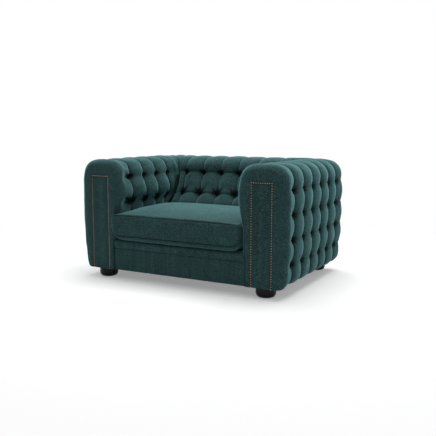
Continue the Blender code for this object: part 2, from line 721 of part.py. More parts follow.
def add_frame(body, wood):
    """Add the hardwood frame of the seat, the arms and the back; uprights stand between the springs."""
    post_y = FRAME_IN_Y + BOARD
    for word, side in (("left", -1), ("right", 1)):
        def board(name, x_low, x_high, y_low, y_high, z_low, z_high):
            ends = sorted((side * x_low, side * x_high))
            add_board(word + "_" + name, (ends[0], y_low, z_low), (ends[1], y_high, z_high), wood, body)

        board_y = FACING_THICKNESS + FRONT_BOARD
        board("arm_front_board", FRAME_IN_X, FRAME_OUT_X, FACING_THICKNESS, board_y, 0.0, FRAME_HEIGHT)
        board("arm_top_rail", FRAME_IN_X, FRAME_OUT_X, board_y, FRAME_IN_Y,
              FRAME_HEIGHT - BOARD, FRAME_HEIGHT)
        board("side_rail", FRAME_IN_X, FRAME_IN_X + BOARD, board_y, FRAME_IN_Y, 0.0, RAIL_HEIGHT)
        board("arm_outer_rail", FRAME_OUT_X - BOARD, FRAME_OUT_X, board_y, FRAME_IN_Y, 0.0, TACK_RAIL_HEIGHT)
        board("back_post", FRAME_IN_X, FRAME_OUT_X, FRAME_IN_Y, post_y, 0.0, FRAME_HEIGHT)
    add_board("front_rail", (-FRAME_IN_X, RAIL_Y, 0.0), (FRAME_IN_X, RAIL_Y + BOARD, RAIL_HEIGHT), wood, body)
    add_board("rear_rail", (-FRAME_IN_X, FRAME_IN_Y, 0.0), (FRAME_IN_X, post_y, RAIL_HEIGHT), wood, body)
    add_board("seat_stretcher", (-STRETCHER_WIDTH / 2, RAIL_Y + BOARD, 0.0),
              (STRETCHER_WIDTH / 2, FRAME_IN_Y, TACK_RAIL_HEIGHT), wood, body)
    add_board("back_top_rail", (-FRAME_IN_X, FRAME_IN_Y, FRAME_HEIGHT - BOARD),
              (FRAME_IN_X, FRAME_OUT_Y, FRAME_HEIGHT), wood, body)
    block_x = FRAME_IN_X + BOARD
    add_board("back_outer_rail", (-block_x, FRAME_OUT_Y - BOARD, 0.0),
              (block_x, FRAME_OUT_Y, TACK_RAIL_HEIGHT), wood, body)
    uprights = SPRINGS - 1
    for index in range(uprights):
        middle = (index - (uprights - 1) / 2) * SPRING_PITCH
        add_board("back_upright_%d" % (index + 1),
                  (middle - UPRIGHT_WIDTH / 2, FRAME_IN_Y, RAIL_HEIGHT),
                  (middle + UPRIGHT_WIDTH / 2, post_y, FRAME_HEIGHT - BOARD), wood, body)


def add_springs(body, steel):
    """Add the zigzag springs across the seat and the clip at each end of each spring."""
    front = RAIL_Y + BOARD / 2
    rear = FRAME_IN_Y + BOARD / 2
    height = RAIL_HEIGHT + FIT + SPRING_WIRE / 2
    first_bend = front + SPRING_END
    bend = (rear - front - 2 * SPRING_END) / SPRING_BENDS
    for index in range(SPRINGS):
        middle = (index - (SPRINGS - 1) / 2) * SPRING_PITCH
        route = [(middle, front - CLIP_LENGTH / 2), (middle, first_bend)]
        for turn in range(SPRING_BENDS):
            side = SPRING_HALF_WIDTH * (1 if turn % 2 == 0 else -1)
            centre = first_bend + bend * (turn + 0.5)
            route += [(middle + side, centre - bend / 4), (middle + side, centre + bend / 4)]
        route += [(middle, rear - SPRING_END), (middle, rear + CLIP_LENGTH / 2)]
        curve = bpy.data.curves.new("seat_spring_%d" % (index + 1), "CURVE")
        curve.dimensions = "3D"
        curve.bevel_depth = SPRING_WIRE / 2
        curve.bevel_resolution = 0
        curve.use_fill_caps = True
        spline = curve.splines.new("POLY")
        spline.points.add(len(route) - 1)
        for point, (x, y) in zip(spline.points, route):
            point.co = (x, y, height, 1.0)
        add_object(curve.name, curve, steel, body)
        for word, y in (("front", front), ("rear", rear)):
            name = "%s_spring_clip_%d" % (word, index + 1)
            add_object(name, clip_mesh(name, middle, y), steel, body)


def clip_mesh(name, middle, y):
    """Return a clip that straddles a spring's end on its rail."""
    half = CLIP_WIDTH / 2
    slot = SPRING_WIRE / 2 + FIT
    base = RAIL_HEIGHT + FIT
    roof = base + SPRING_WIRE + FIT
    outline = [(-half, base), (-half, CLIP_TOP), (half, CLIP_TOP), (half, base)]
    outline += [(slot, base), (slot, roof), (-slot, roof), (-slot, base)]
    outline = [(middle + x, z) for x, z in outline]
    return extruded_mesh(name, outline, "y", y - CLIP_LENGTH / 2, y + CLIP_LENGTH / 2)


def turned_mesh(name, profile, segments):
    """Return a profile of radius and height turned about z; its ends lie on the axis."""
    points = [(0.0, 0.0, profile[0][1])]
    for radius, height in profile[1:-1]:
        for i in range(segments):
            angle = 2 * math.pi * i / segments
            points.append((radius * math.cos(angle), radius * math.sin(angle), height))
    points.append((0.0, 0.0, profile[-1][1]))
    rings = len(profile) - 2
    faces = []
    for i in range(segments):
        after = (i + 1) % segments
        faces.append((0, 1 + i, 1 + after))
        for ring in range(rings - 1):
            start = 1 + ring * segments
            faces.append((start + i, start + segments + i, start + segments + after, start + after))
        start = 1 + (rings - 1) * segments
        faces.append((start + after, start + i, len(points) - 1))
    return mesh_from(name, points, faces)


def foot_profile():
    """Return the bun foot's profile from the floor up and down into the bolt's hole."""
    hole = BOLT_RADIUS + FIT
    height = FOOT_HEIGHT - FIT
    profile = [(0.0, 0.0), (FOOT_BASE_RADIUS, 0.0)]
    for i in range(1, FOOT_RINGS):
        share = i / FOOT_RINGS
        edge = mix(FOOT_BASE_RADIUS, FOOT_NECK_RADIUS, share)
        swell = math.sqrt(math.sin(math.pi * share))
        profile.append((mix(edge, FOOT_RADIUS, swell), height * share))
    profile += [(FOOT_NECK_RADIUS, height), (hole, height)]
    profile += [(hole, height - BOLT_DEPTH - FIT), (0.0, height - BOLT_DEPTH - FIT)]
    return profile


def block_mesh(name, low, high, hole_x, hole_y):
    """Return a block with an upright hole for a bolt."""
    corners = [math.atan2(y - hole_y, x - hole_x) for x in (low[0], high[0]) for y in (low[1], high[1])]
    angles = sorted([2 * math.pi * i / BOLT_SEGMENTS - math.pi for i in range(BOLT_SEGMENTS)] + corners)
    rim = []
    for angle in angles:
        cosine, sine = math.cos(angle), math.sin(angle)
        limit_x = high[0] - hole_x if cosine > 0 else low[0] - hole_x
        limit_y = high[1] - hole_y if sine > 0 else low[1] - hole_y
        reach_x = limit_x / cosine if abs(cosine) > 1e-9 else math.inf
        reach_y = limit_y / sine if abs(sine) > 1e-9 else math.inf
        reach = min(reach_x, reach_y)
        rim.append((hole_x + reach * cosine, hole_y + reach * sine))
    radius = BOLT_RADIUS + FIT
    bore = [(hole_x + radius * math.cos(a), hole_y + radius * math.sin(a)) for a in angles]
    loops = [(rim, low[2]), (rim, high[2]), (bore, high[2]), (bore, low[2])]
    points = [(x, y, z) for outline, z in loops for x, y in outline]
    count = len(angles)
    faces = []
    for loop in range(4):
        for i in range(count):
            after = (i + 1) % count
            here = loop * count
            there = (loop + 1) % 4 * count
            faces.append((here + i, here + after, there + after, there + i))
    return mesh_from(name, points, faces)


def add_feet(body, wood, black, steel):
    """Add the feet, the blocks that they screw into and their bolts."""
    front_y = FACING_THICKNESS + FRONT_BOARD
    rear_y = FRAME_IN_Y + BOARD
    places = (("front", FRONT_FOOT_Y, front_y, front_y + BLOCK_LENGTH, FRAME_OUT_X - BOARD),
              ("rear", REAR_FOOT_Y, rear_y, FRAME_OUT_Y, FRAME_OUT_X))
    for word, foot_y, y_low, y_high, x_out in places:
        for hand, side in (("left", -1), ("right", 1)):
            name = "%s_%s_foot" % (word, hand)
            foot_x = side * ARM_MIDDLE_X
            foot = add_object(name, turned_mesh(name, foot_profile(), FOOT_SEGMENTS), black, body, 40)
            foot.location = (foot_x, foot_y, -FOOT_HEIGHT)
            x_ends = sorted((side * (FRAME_IN_X + BOARD), side * x_out))
            low = (x_ends[0] + FIT, y_low + FIT, 0.0)
            high = (x_ends[1] - FIT, y_high - FIT, BLOCK_HEIGHT)
            add_object(name + "_block", block_mesh(name + "_block", low, high, foot_x, foot_y), wood, body)
            bolt = [(0.0, -BOLT_DEPTH), (BOLT_RADIUS, -BOLT_DEPTH)]
            bolt += [(BOLT_RADIUS, BLOCK_HEIGHT), (0.0, BLOCK_HEIGHT)]
            bolt_name = name + "_bolt"
            pin = add_object(bolt_name, turned_mesh(bolt_name, bolt, BOLT_SEGMENTS), steel, body)
            pin.location = (foot_x, foot_y, 0.0)


def add_dust_cover(body, cloth):
    """Add the cloth under the frame, cut away round the feet."""
    half = FRAME_OUT_X
    front = COVER_MARGIN
    rear = FRAME_OUT_Y
    notch_x = ARM_MIDDLE_X - FOOT_RADIUS - FOOT_CLEARANCE
    front_notch = FRONT_FOOT_Y + FOOT_RADIUS + FOOT_CLEARANCE
    rear_notch = REAR_FOOT_Y - FOOT_RADIUS - FOOT_CLEARANCE
    right = [(notch_x, front), (notch_x, front_notch), (half, front_notch)]
    right += [(half, rear_notch), (notch_x, rear_notch), (notch_x, rear)]
    outline = right + [(-x, y) for x, y in reversed(right)]
    mesh = extruded_mesh("dust_cover", outline, "z", -FIT - COVER_THICKNESS, -FIT)
    add_object("dust_cover", mesh, cloth, body)


def main():
    """Build the chair."""
    clear_scene()
    velvet = make_material("velvet", (0.055, 0.150, 0.150), 0.85)
    brass = make_material("nail_brass", (0.30, 0.20, 0.14), 0.35, 1.0)
    wood = make_material("frame_wood", (0.55, 0.38, 0.22), 0.70)
    black = make_material("foot_black", (0.012, 0.011, 0.011), 0.20)
    steel = make_material("spring_steel", (0.45, 0.45, 0.47), 0.35, 1.0)
    cloth = make_material("dust_cloth", (0.02, 0.02, 0.02), 0.95)
    body = bpy.data.objects.new("chair_body", None)
    bpy.context.collection.objects.link(body)
    body.location = (0.0, FRONT_Y, FOOT_HEIGHT)
    add_upholstery(body, velvet)
    add_facings(body, velvet, brass)
    add_seat_front(body, velvet)
    add_deck(body, velvet)
    add_cushion(body, velvet)
    add_frame(body, wood)
    add_springs(body, steel)
    add_feet(body, wood, black, steel)
    add_dust_cover(body, cloth)
    bpy.context.view_layer.update()


main()
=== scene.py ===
"""Looks of a tufted snuggle chair: velvet cover, loose cushion, nails, feet and a plain studio.

Laid out as a Blender add-on and run as a script. Metres, +Z up, front towards -Y. Shapes are worked
out in the chair body's coordinates: x from the centre line, y from the front plane of the arms,
z from the underside of the upholstery.
"""
import json
import math

import bmesh
import bpy
import numpy as np
from bpy.props import FloatProperty, FloatVectorProperty, IntProperty, PointerProperty
from bpy.types import NodeSocket, Operator, Panel, PropertyGroup
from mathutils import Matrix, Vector, noise


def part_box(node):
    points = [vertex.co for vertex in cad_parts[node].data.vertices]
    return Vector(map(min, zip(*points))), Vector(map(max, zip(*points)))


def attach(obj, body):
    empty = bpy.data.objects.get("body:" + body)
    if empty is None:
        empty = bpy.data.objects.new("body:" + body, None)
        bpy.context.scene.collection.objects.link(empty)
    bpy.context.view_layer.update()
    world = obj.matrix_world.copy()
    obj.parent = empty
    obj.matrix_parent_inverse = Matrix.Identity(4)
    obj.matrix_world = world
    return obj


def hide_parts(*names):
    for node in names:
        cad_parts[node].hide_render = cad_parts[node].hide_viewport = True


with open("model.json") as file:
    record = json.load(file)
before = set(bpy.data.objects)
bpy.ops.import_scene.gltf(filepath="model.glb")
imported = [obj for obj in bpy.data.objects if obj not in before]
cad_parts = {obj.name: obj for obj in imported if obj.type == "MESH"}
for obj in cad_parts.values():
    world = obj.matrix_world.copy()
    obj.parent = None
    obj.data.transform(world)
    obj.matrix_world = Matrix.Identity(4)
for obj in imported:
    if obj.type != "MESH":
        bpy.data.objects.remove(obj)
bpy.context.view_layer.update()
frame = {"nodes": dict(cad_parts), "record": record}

bl_info = {
    "name": "Snuggle Chair Looks",
    "version": (1, 0, 0),
    "blender": (4, 5, 0),
    "location": "View3D > Sidebar > Chair",
    "description": "Dresses a snuggle chair's frame in tufted velvet and sets a plain studio round it",
    "category": "Object",
}

# Places read from the frame, in the chair body's coordinates
CHAIR = "chair"
CUSHION = "cushion"
SIDES = (("left", -1.0), ("right", 1.0))
BODY_PLACE = Vector((0.0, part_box("right_arm_facing")[0].y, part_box("right_arm_facing")[0].z))


def body_box(node):
    """Return a frame node's lowest and highest corners in the chair body's coordinates."""
    low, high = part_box(node)
    return low - BODY_PLACE, high - BODY_PLACE


ARM_LOW, ARM_HIGH = body_box("right_arm_pad")
BACK_HIGH = body_box("back_pad")[1]
DECK_LOW, DECK_HIGH = body_box("deck_pad")
BOARD_LOW, BOARD_HIGH = body_box("right_arm_front_board")
CUSHION_LOW, CUSHION_HIGH = body_box("seat_cushion")
TOP = ARM_HIGH.z

# The cover clears the deck and the frame by the fit; its nail lines follow the arm's front board
FIT = 0.0003
INSIDE_X = DECK_HIGH.x + FIT
INSIDE_Y = DECK_HIGH.y + FIT
ARM_MIDDLE_X = (BOARD_LOW.x + BOARD_HIGH.x) / 2
NAIL_HALF = (BOARD_HIGH.x - BOARD_LOW.x) / 2 + FIT
NAIL_TOP = BOARD_HIGH.z + FIT


# Settings that a user would change

def length(name, description, default):
    """Return a property that holds a length."""
    return FloatProperty(name=name, description=description, default=default, unit="LENGTH")


def pair(name, description, default, unit="LENGTH"):
    """Return a property that holds two numbers."""
    return FloatVectorProperty(name=name, description=description, default=default, size=2, unit=unit)


def colour(name, description, default):
    """Return a property that holds a colour."""
    return FloatVectorProperty(
        name=name, description=description, default=default, subtype="COLOR", min=0.0, max=1.0)


class TuftSettings(PropertyGroup):
    """Sizes of the tufted padding."""

    arm_inside_first: length("Arm inside first pleat", "Front of an arm to its first inside pleat", 0.150)
    arm_inside_pitch: length("Arm inside pitch", "Between pleats on the inside of an arm", 0.134)
    arm_outside_first: length("Arm outside first pleat", "Front of an arm to its first outside pleat", 0.127)
    arm_outside_pitch: length("Arm outside pitch", "Between pleats on the outside of an arm", 0.132)
    back_pitch: length("Back pitch", "Between pleats of the back", 0.1315)
    inside_row_drop: length("Inside row drop", "Top of the padding to the first inside row of tufts", 0.1065)
    inside_row_pitch: length("Inside row pitch", "Between inside rows of tufts", 0.135)
    outside_row_drop: length(
        "Outside row drop", "Top of the padding to the first outside row of tufts", 0.1335)
    outside_row_pitch: length("Outside row pitch", "Between outside rows of tufts", 0.133)
    arm_pleat: length("Arm pleat", "Depth of an arm's inside pleat half-way between two tufts", 0.034)
    back_pleat: length("Back pleat", "Depth of the back's inside pleat half-way between two tufts", 0.019)
    outside_pleat: length("Outside pleat", "Depth of an outside pleat half-way between two tufts", 0.020)
    top_pleat: length("Top pleat", "Depth of a pleat where it crosses the top", 0.017)
    arm_pit: length("Arm pit", "How much deeper than its pleat an arm's inside tuft is drawn", 0.038)
    back_pit: length("Back pit", "How much deeper than its pleat a tuft of the back is drawn", 0.036)
    outside_pit: length("Outside pit", "How much deeper than its pleat an outside tuft is drawn", 0.044)
    corner_pleat: length("Corner pleat", "Depth of the pleat in the inside corners", 0.058)
    corner_pit: length("Corner pit", "How much deeper the corner pleat is where a row crosses it", 0.006)
    pit_radius: length("Pit radius", "Radius of a tuft's narrow middle", 0.013)
    arm_waist: pair("Arm waist", "Soft hollow and crisp fold between inside tufts of an arm", (0.020, 0.005))
    back_waist: pair("Back waist", "Soft hollow and crisp fold between tufts of the back", (0.004, 0.012))
    outside_waist: pair("Outside waist", "Soft hollow and crisp fold between outside tufts", (0.006, 0.004))
    arm_low_draw: pair(
        "Arm low draw", "Share of an arm's pleat and pit depth left at its lower row", (0.65, 0.35), "NONE")
    back_low_draw: pair(
        "Back low draw", "Share of the back's pleat and pit depth left at its lower row", (1.0, 0.65), "NONE")
    arm_arch: length("Arm arch", "How far the fold between two tufts of an arm arches upwards", 0.008)
    back_arch: length("Back arch", "How far the fold between two tufts of the back arches upwards", 0.014)
    back_recline: length("Back recline", "How much further the back leans at its upper row of tufts", 0.034)
    # Faces deeper in a fold than this wear a sheenless copy of the velvet: painted shade
    painted_shade_fold: FloatProperty(
        name="Crushed fold", description="How deep in a fold the pile is crushed and loses its sheen",
        default=0.46, min=0.0, max=1.0)
    arm_row_shift: pair(
        "Arm row shifts", "How far the arms' lower and upper inside rows lie above their levels",
        (-0.026, -0.008))
    back_row_shift: pair(
        "Back row shifts", "How far the back's lower and upper rows lie above their levels", (-0.006, -0.007))
    corner_row_shift: pair(
        "Corner row shifts", "How far the lower and upper rows lie above their levels in the corners",
        (-0.016, -0.008))
    roll_draw: length("Roll draw", "How far the inside of an arm's top roll is drawn back", 0.014)
    gather_height: length("Gather height", "Height of the small folds that run out from a tuft", 0.0050)
    fullness: FloatProperty(
        name="Fullness", description="Squareness of the padding between two pleats",
        default=2.2, min=1.0, max=6.0)
    outside_swell: length("Arm taper", "How far an arm's outside draws in towards the floor", 0.020)
    back_swell: length("Back taper", "How far the outside of the back draws in towards the floor", 0.010)
    flare_height: length("Flare height", "Height over which the outside draws in towards the floor", 0.260)
    top_roll: length("Top roll", "Height of the rounded top above the shoulder", 0.1815)
    fold_height: length("Fold height", "Height at which the plain inside starts to swell", 0.305)
    front_round: length("Front round", "Radius of an arm's front edge", 0.045)
    front_edge: length("Seat edge round", "Radius of an arm's front edge beside the seat", 0.022)
    front_fill: length("Seat edge fill", "How much fuller an arm's front is beside the cushion", 0.008)
    hem_drop: length("Hem drop", "How far the covers hang below the frame", 0.005)
    hem_round: length("Hem round", "Radius with which the cover turns under the frame", 0.045)


class CushionSettings(PropertyGroup):
    """Sizes of the loose seat cushion."""

    belly: length("Belly", "Height of the lower seam above the deck", 0.0297)
    boxing: length("Boxing", "Height of the band between the seams", 0.1195)
    start_crown: length("Cut crown", "Rise of the top panel before it is filled", 0.050)
    corner: length("Corner radius", "Radius of the cushion's upright corners at its top seam", 0.018)
    low_corner: length("Low corner radius", "Radius of the cushion's upright corners at its underside", 0.034)
    nose_spread: length("Nose spread", "How far the front left corner spreads in front of the arm", 0.032)
    right_gap: length("Right gap", "How far the front of the right end stands off the arm", 0.011)
    end_round: length("End round", "Radius with which both ends turn up from the underside", 0.064)
    swell_cap: length("Swell cap", "How far filling may move the cover", 0.026)
    pressure: FloatProperty(name="Pressure", description="Pressure of the filling", default=4.0, min=0.0)
    frames: IntProperty(name="Frames", description="Length of the filling simulation", default=20, min=1)
    seam_depth: length("Seam depth", "How far a seam is drawn in", 0.0035)
    seam_width: length("Seam width", "Half width of a seam's groove", 0.0035)


class NailSettings(PropertyGroup):
    """Sizes of the nail rows on the arm fronts."""

    pitch: length("Pitch", "Between two nails", 0.0135)
    radius: length("Head radius", "Radius of a nail's head", 0.0029)
    height: length("Head height", "Height of a nail's dome", 0.0026)


class FinishSettings(PropertyGroup):
    """Colours of the finishes."""

    velvet: colour("Velvet", "Colour of the velvet's pile", (0.027, 0.063, 0.064))
    velvet_sheen: colour(
        "Velvet sheen", "Colour of the pile where it is seen along its tips", (0.36, 0.82, 0.85))
    nail: colour("Nail", "Colour of the aged brass nails", (0.42, 0.29, 0.21))
    lacquer: colour("Foot lacquer", "Colour of the feet", (0.004, 0.004, 0.004))
    wood: colour("Frame wood", "Colour of the frame", (0.52, 0.35, 0.20))
    steel: colour("Steel", "Colour of the springs, clips and bolts", (0.58, 0.58, 0.60))
    dull_steel: colour("Dull steel", "Colour of the steel where it is dulled", (0.30, 0.30, 0.31))
    dust_cloth: colour("Dust cloth", "Colour of the cloth under the frame", (0.018, 0.018, 0.018))


class ChairSettings(PropertyGroup):
    """Everything that a user would change on the chair."""

    tufts: PointerProperty(type=TuftSettings, name="Tufts", description="Tufted padding")
    cushion: PointerProperty(type=CushionSettings, name="Cushion", description="Loose seat cushion")
    nails: PointerProperty(type=NailSettings, name="Nails", description="Nail rows")
    finish: PointerProperty(type=FinishSettings, name="Finish", description="Colours")


# Small helpers for shapes

def mix(first, second, share):
    """Return the value a share of the way from first to second."""
    return first + (second - first) * share


def ease(value):
    """Return a smooth step from 0 to 1."""
    share = np.clip(value, 0.0, 1.0)
    return share * share * (3.0 - 2.0 * share)


def bell(value, width):
    """Return 1 at 0, falling off smoothly to both sides over a width."""
    return np.exp(-(value / width) ** 2)


def bunched(start, end, count):
    """Return count + 1 values from start to end, closer together at both ends."""
    return mix(start, end, (1.0 - np.cos(np.linspace(0.0, math.pi, count + 1))) / 2.0)


def hollow(share, fullness):
    """Return 1 at share 0 and 0 at share 1, the section of a fold between two full pads."""
    rest = np.clip(1.0 - share, 0.0, 1.0)
    return 1.0 - (1.0 - rest ** fullness) ** (1.0 / fullness)


def quarter(share, radius):
    """Return how far a round edge falls back, 0 where it starts at share 0 and its radius at share 1."""
    return radius * (1.0 - np.sqrt(1.0 - np.clip(share, 0.0, 1.0) ** 2))


def normalised(vectors):
    """Return vectors at length 1."""
    return vectors / np.linalg.norm(vectors, axis=-1, keepdims=True)


def ripple(points, wavelength, height):
    """Return smooth noise of the given height at each point."""
    flat = points.reshape(-1, 3) / wavelength
    values = np.array([noise.noise(Vector(point)) for point in flat])
    return values.reshape(points.shape[:-1]) * height


def ring_faces(rings, count, start=0):
    """Return the quads between closed rings of count points, numbered one ring after another from start."""
    faces = []
    for low in range(start, start + (rings - 1) * count, count):
        for i in range(count):
            after = (i + 1) % count
            faces.append((low + i, low + after, low + count + after, low + count + i))
    return faces


def grid_faces(index):
    """Return the quads of a grid of point numbers."""
    faces = []
    for near, far in zip(index, index[1:]):
        for j in range(len(near) - 1):
            faces.append((near[j], far[j], far[j + 1], near[j + 1]))
    return faces


def perimeter(across, forth):
    """Return the steps round a grid, anticlockwise from its front left corner."""
    steps = [(i, 0) for i in range(across - 1)] + [(across - 1, j) for j in range(forth - 1)]
    steps += [(i, forth - 1) for i in range(across - 1, 0, -1)] + [(0, j) for j in range(forth - 1, 0, -1)]
    return steps


def mesh_object(name, points, faces, material, sharp=None):
    """Return a linked smooth object made of points in the chair body's coordinates, its faces turned out.

    Edges sharper than the angle sharp, in degrees, stay crisp where one is given.
    """
    mesh = bpy.data.meshes.new(name)
    mesh.from_pydata([tuple(point) for point in np.asarray(points, float) + np.array(BODY_PLACE)], [], faces)
    work = bmesh.new()
    work.from_mesh(mesh)
    bmesh.ops.recalc_face_normals(work, faces=work.faces)
    work.to_mesh(mesh)
    work.free()
    mesh.materials.append(material)
    mesh.shade_smooth()
    if sharp:
        mesh.set_sharp_from_angle(angle=math.radians(sharp))
    piece = bpy.data.objects.new(name, mesh)
    bpy.context.scene.collection.objects.link(piece)
    return piece


def point_places(mesh):
    """Return the places of a mesh's points."""
    return np.array([vertex.co for vertex in mesh.vertices])


def point_values(mesh, name):
    """Return the number stored under a name for each point of a mesh."""
    values = np.zeros(len(mesh.vertices), np.float32)
    mesh.attributes[name].data.foreach_get("value", values)
    return values


def keep_point_values(piece, name, values):
    """Store one number for each point of a piece, for its material to read."""
    layer = piece.data.attributes.new(name, "FLOAT", "POINT")
    layer.data.foreach_set("value", np.asarray(values, np.float32))


def dress(piece, body, slot, *nodes):
    """Make a piece ride on a body and hide the nodes that it stands for; the slot is not used."""
    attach(piece, body)
    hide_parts(*nodes)


# Tufted padding

class PaddedRun:
    """One straight run of tufted padding, an arm or half of the back, over cell and level.

    Pleat lines lie at whole cells, from 0.5 at the run's start to the corner's mitre. Levels run 0 to
    1 up the plain inside, to 2 up the swell, to 3 and 4 over the top and to 5 down the outside.
    """

    # Radii of the corner, how clear of its mitre the last pleat keeps, and the pitches left free there
    inner_corner = 0.020
    outer_corner = 0.060
    corner_room = 0.025
    spare_in = 0.3
    spare_out = 0.4
    # Squareness of the top roll, and how much of the hem's turn is left at an arm's front
    squareness = 3.2
    front_hem = 0.3
    # Share of the swell at which the back starts to lean, and where it reclines about the shoulder
    lean_start = 0.15
    recline_start = -0.05
    recline_height = 0.14
    # Where an arm's front is fuller: heights at which it starts and stops, with their slopes, and length
    fill_start = 0.15
    fill_start_slope = 0.05
    fill_stop = 0.36
    fill_stop_slope = 0.06
    fill_length = 0.10

    def __init__(self, tufts, is_arm, inside, inside_roll, outside_roll, swell, inside_lines, outside_lines):
        kind = "arm_" if is_arm else "back_"
        own = ("pleat", "pit", "waist", "low_draw", "arch", "row_shift")
        self.pleat, self.pit, self.waist, self.low_draw, self.arch, self.row_shift = (
            getattr(tufts, kind + name) for name in own)
        self.tufts = tufts
        self.is_arm = is_arm
        self.recline = 0.0 if is_arm else tufts.back_recline
        self.inside = inside
        self.inside_roll = inside_roll
        self.outside_roll = outside_roll
        self.swell = swell
        self.crest = (inside_roll + outside_roll) / 2
        self.shoulder = TOP - tufts.top_roll
        self.inside_lines = inside_lines
        self.outside_lines = outside_lines
        self.crossing = None
        self.lines_in = 0
        self.lines_out = 0

    def meet(self, other):
        """Note the run that this one meets at the corner, and count the pleats up to it."""
        first_in, pitch_in = self.inside_lines
        first_out, pitch_out = self.outside_lines
        self.crossing = other
        self.lines_in = 1 + int((other.inside_roll - first_in) / pitch_in - self.spare_in)
        self.lines_out = 1 + int((other.outside_roll - first_out) / pitch_out - self.spare_out)

    @property
    def end(self):
        """Return the cell of the corner's mitre."""
        return self.lines_out + 0.5

    def section(self, level, inset=0.0):
        """Return the place across the padding and the height."""
        fold = self.tufts.fold_height
        rise = np.clip(level - 1.0, 0.0, 1.0)
        late = (rise - self.lean_start) / (1.0 - self.lean_start)
        lean = 1.0 - (1.0 - rise) ** 2 if self.is_arm else ease(late)
        across = mix(self.inside, self.inside_roll, lean) + inset
        height = np.where(level <= 1.0, fold * level, mix(fold, self.shoulder, level - 1.0))
        turn = np.clip(np.where(level <= 3.0, level - 2.0, 4.0 - level), 0.0, 1.0) * math.pi / 2
        power = 2.0 / self.squareness
        reach = np.clip(np.cos(turn), 0.0, 1.0) ** power
        lift = np.clip(np.sin(turn), 0.0, 1.0) ** power
        edge = np.where(level <= 3.0, self.inside_roll + inset, self.outside_roll - inset)
        over = (level > 2.0) & (level <= 4.0)
        across = np.where(over, mix(self.crest, edge, reach), across)
        height = np.where(over, mix(self.shoulder, TOP - inset, lift), height)
        reclined = ease((height - self.shoulder - self.recline_start) / self.recline_height)
        reclined = reclined * np.where(level > 2.0, reach, 1.0)
        across = across + np.where(level < 3.0, self.recline * reclined, 0.0)
        height = np.where(level > 4.0, self.shoulder * (5.0 - level), height)
        flare = np.sin(math.pi / 2 * np.clip(height / self.tufts.flare_height, 0.0, 1.0))
        outside = self.outside_roll - self.swell * (1.0 - flare) - inset
        return np.where(level > 4.0, outside, across), height

    def hem(self, level):
        """Return how far the cover is drawn in as it turns under the frame."""
        radius = self.tufts.hem_round
        share = 1.0 - self.shoulder * (5.0 - level) / radius
        return np.where(level > 4.0, quarter(share, radius), 0.0)

    def corner_at(self, level):
        """Return the corner's place, its radius and the length of the run up to the mitre."""
        corner = self.crossing.section(level, self.hem(level))[0]
        radius = mix(self.inner_corner, self.outer_corner, ease((level - 2.0) / 2.0))
        return corner, radius, corner - radius + radius * math.pi / 4

    def last_line(self, lines, count, total):
        """Return the place of the last pleat before the corner, which keeps clear of the mitre."""
        first, pitch = lines
        return np.minimum(first + pitch * (count - 1), total - self.corner_room)

    def line_place(self, cell, lines, count, total):
        """Return how far along the run a cell lies."""
        first, pitch = lines
        last = self.last_line(lines, count, total)
        beyond = mix(last, total, (cell - count) / (self.end - count))
        inner = np.where(cell <= 1.0, first * (cell - 0.5) / 0.5, first + pitch * (cell - 1.0))
        before = first + pitch * (count - 2)
        inner = np.where(cell > count - 1, mix(before, last, cell - count + 1), inner)
        return np.where(cell <= count, inner, beyond)

    def along(self, cell, level):
        """Return the distance along the run; pleats with no fellow inside fan in to the corner."""
        corner, radius, total = self.corner_at(level)
        share = outside_share(level)
        inside = self.line_place(cell, self.inside_lines, self.lines_in, total)
        outside = self.line_place(cell, self.outside_lines, self.lines_out, total)
        widest = self.corner_at(np.asarray(4.0))[2]
        last_in = self.last_line(self.inside_lines, self.lines_in, total)
        last_out = self.outside_lines[0] + self.outside_lines[1] * (self.lines_in - 1)
        place_out = self.line_place(cell, self.outside_lines, self.lines_out, widest)
        inside_part = (inside - last_in) / (total - last_in)
        outside_part = (place_out - last_out) / (widest - last_out)
        fanned = mix(mix(last_in, last_out, share), total, mix(inside_part, outside_part, share))
        plain = (cell <= self.lines_in) | (level >= 4.0)
        return np.where(plain, mix(inside, outside, share), fanned), corner, radius

    def base(self, cell, level):
        """Return points on the padding before it is tufted."""
        tufts = self.tufts
        run, corner, radius = self.along(cell, level)
        inset = self.hem(level)
        if self.is_arm:
            inset = inset * mix(self.front_hem, 1.0, ease(run / (2 * tufts.front_round)))
            edge = mix(tufts.front_edge, tufts.front_round, ease(level - 1.0))
            inset = inset + quarter(1.0 - run / tufts.front_round, edge)
        across, height = self.section(level, inset)
        if self.is_arm:
            beside = ease((height - self.fill_start) / self.fill_start_slope) * (level < 2.0)
            beside = beside * ease((self.fill_stop - height) / self.fill_stop_slope)
            across = across - tufts.front_fill * beside * ease(1.0 - run / self.fill_length)
        turn = np.clip((run - (corner - radius)) / radius, 0.0, None)
        run = np.where(turn > 0.0, corner - radius + radius * np.sin(turn), run)
        across = across - radius * (1.0 - np.cos(turn))
        height = np.broadcast_to(height, run.shape)
        return np.stack([across, run, height] if self.is_arm else [run, across, height], axis=-1)

    def pleat_share(self, cell):
        """Return how far a cell lies from its pleat, 0 in a pleat and 1 half-way, inside and outside."""
        phase_out = cell % 1.0
        beyond = (cell - self.lines_in) / (self.end - self.lines_in)
        phase_in = np.where(cell <= self.lines_in, phase_out, beyond)
        return 2.0 * np.minimum(phase_in, 1.0 - phase_in), 2.0 * np.minimum(phase_out, 1.0 - phase_out)

    def mitre_share(self, cell):
        """Return 0 up to the last inside pleat and 1 at the corner's mitre."""
        return ease((cell - self.lines_in) / (self.end - self.lines_in))

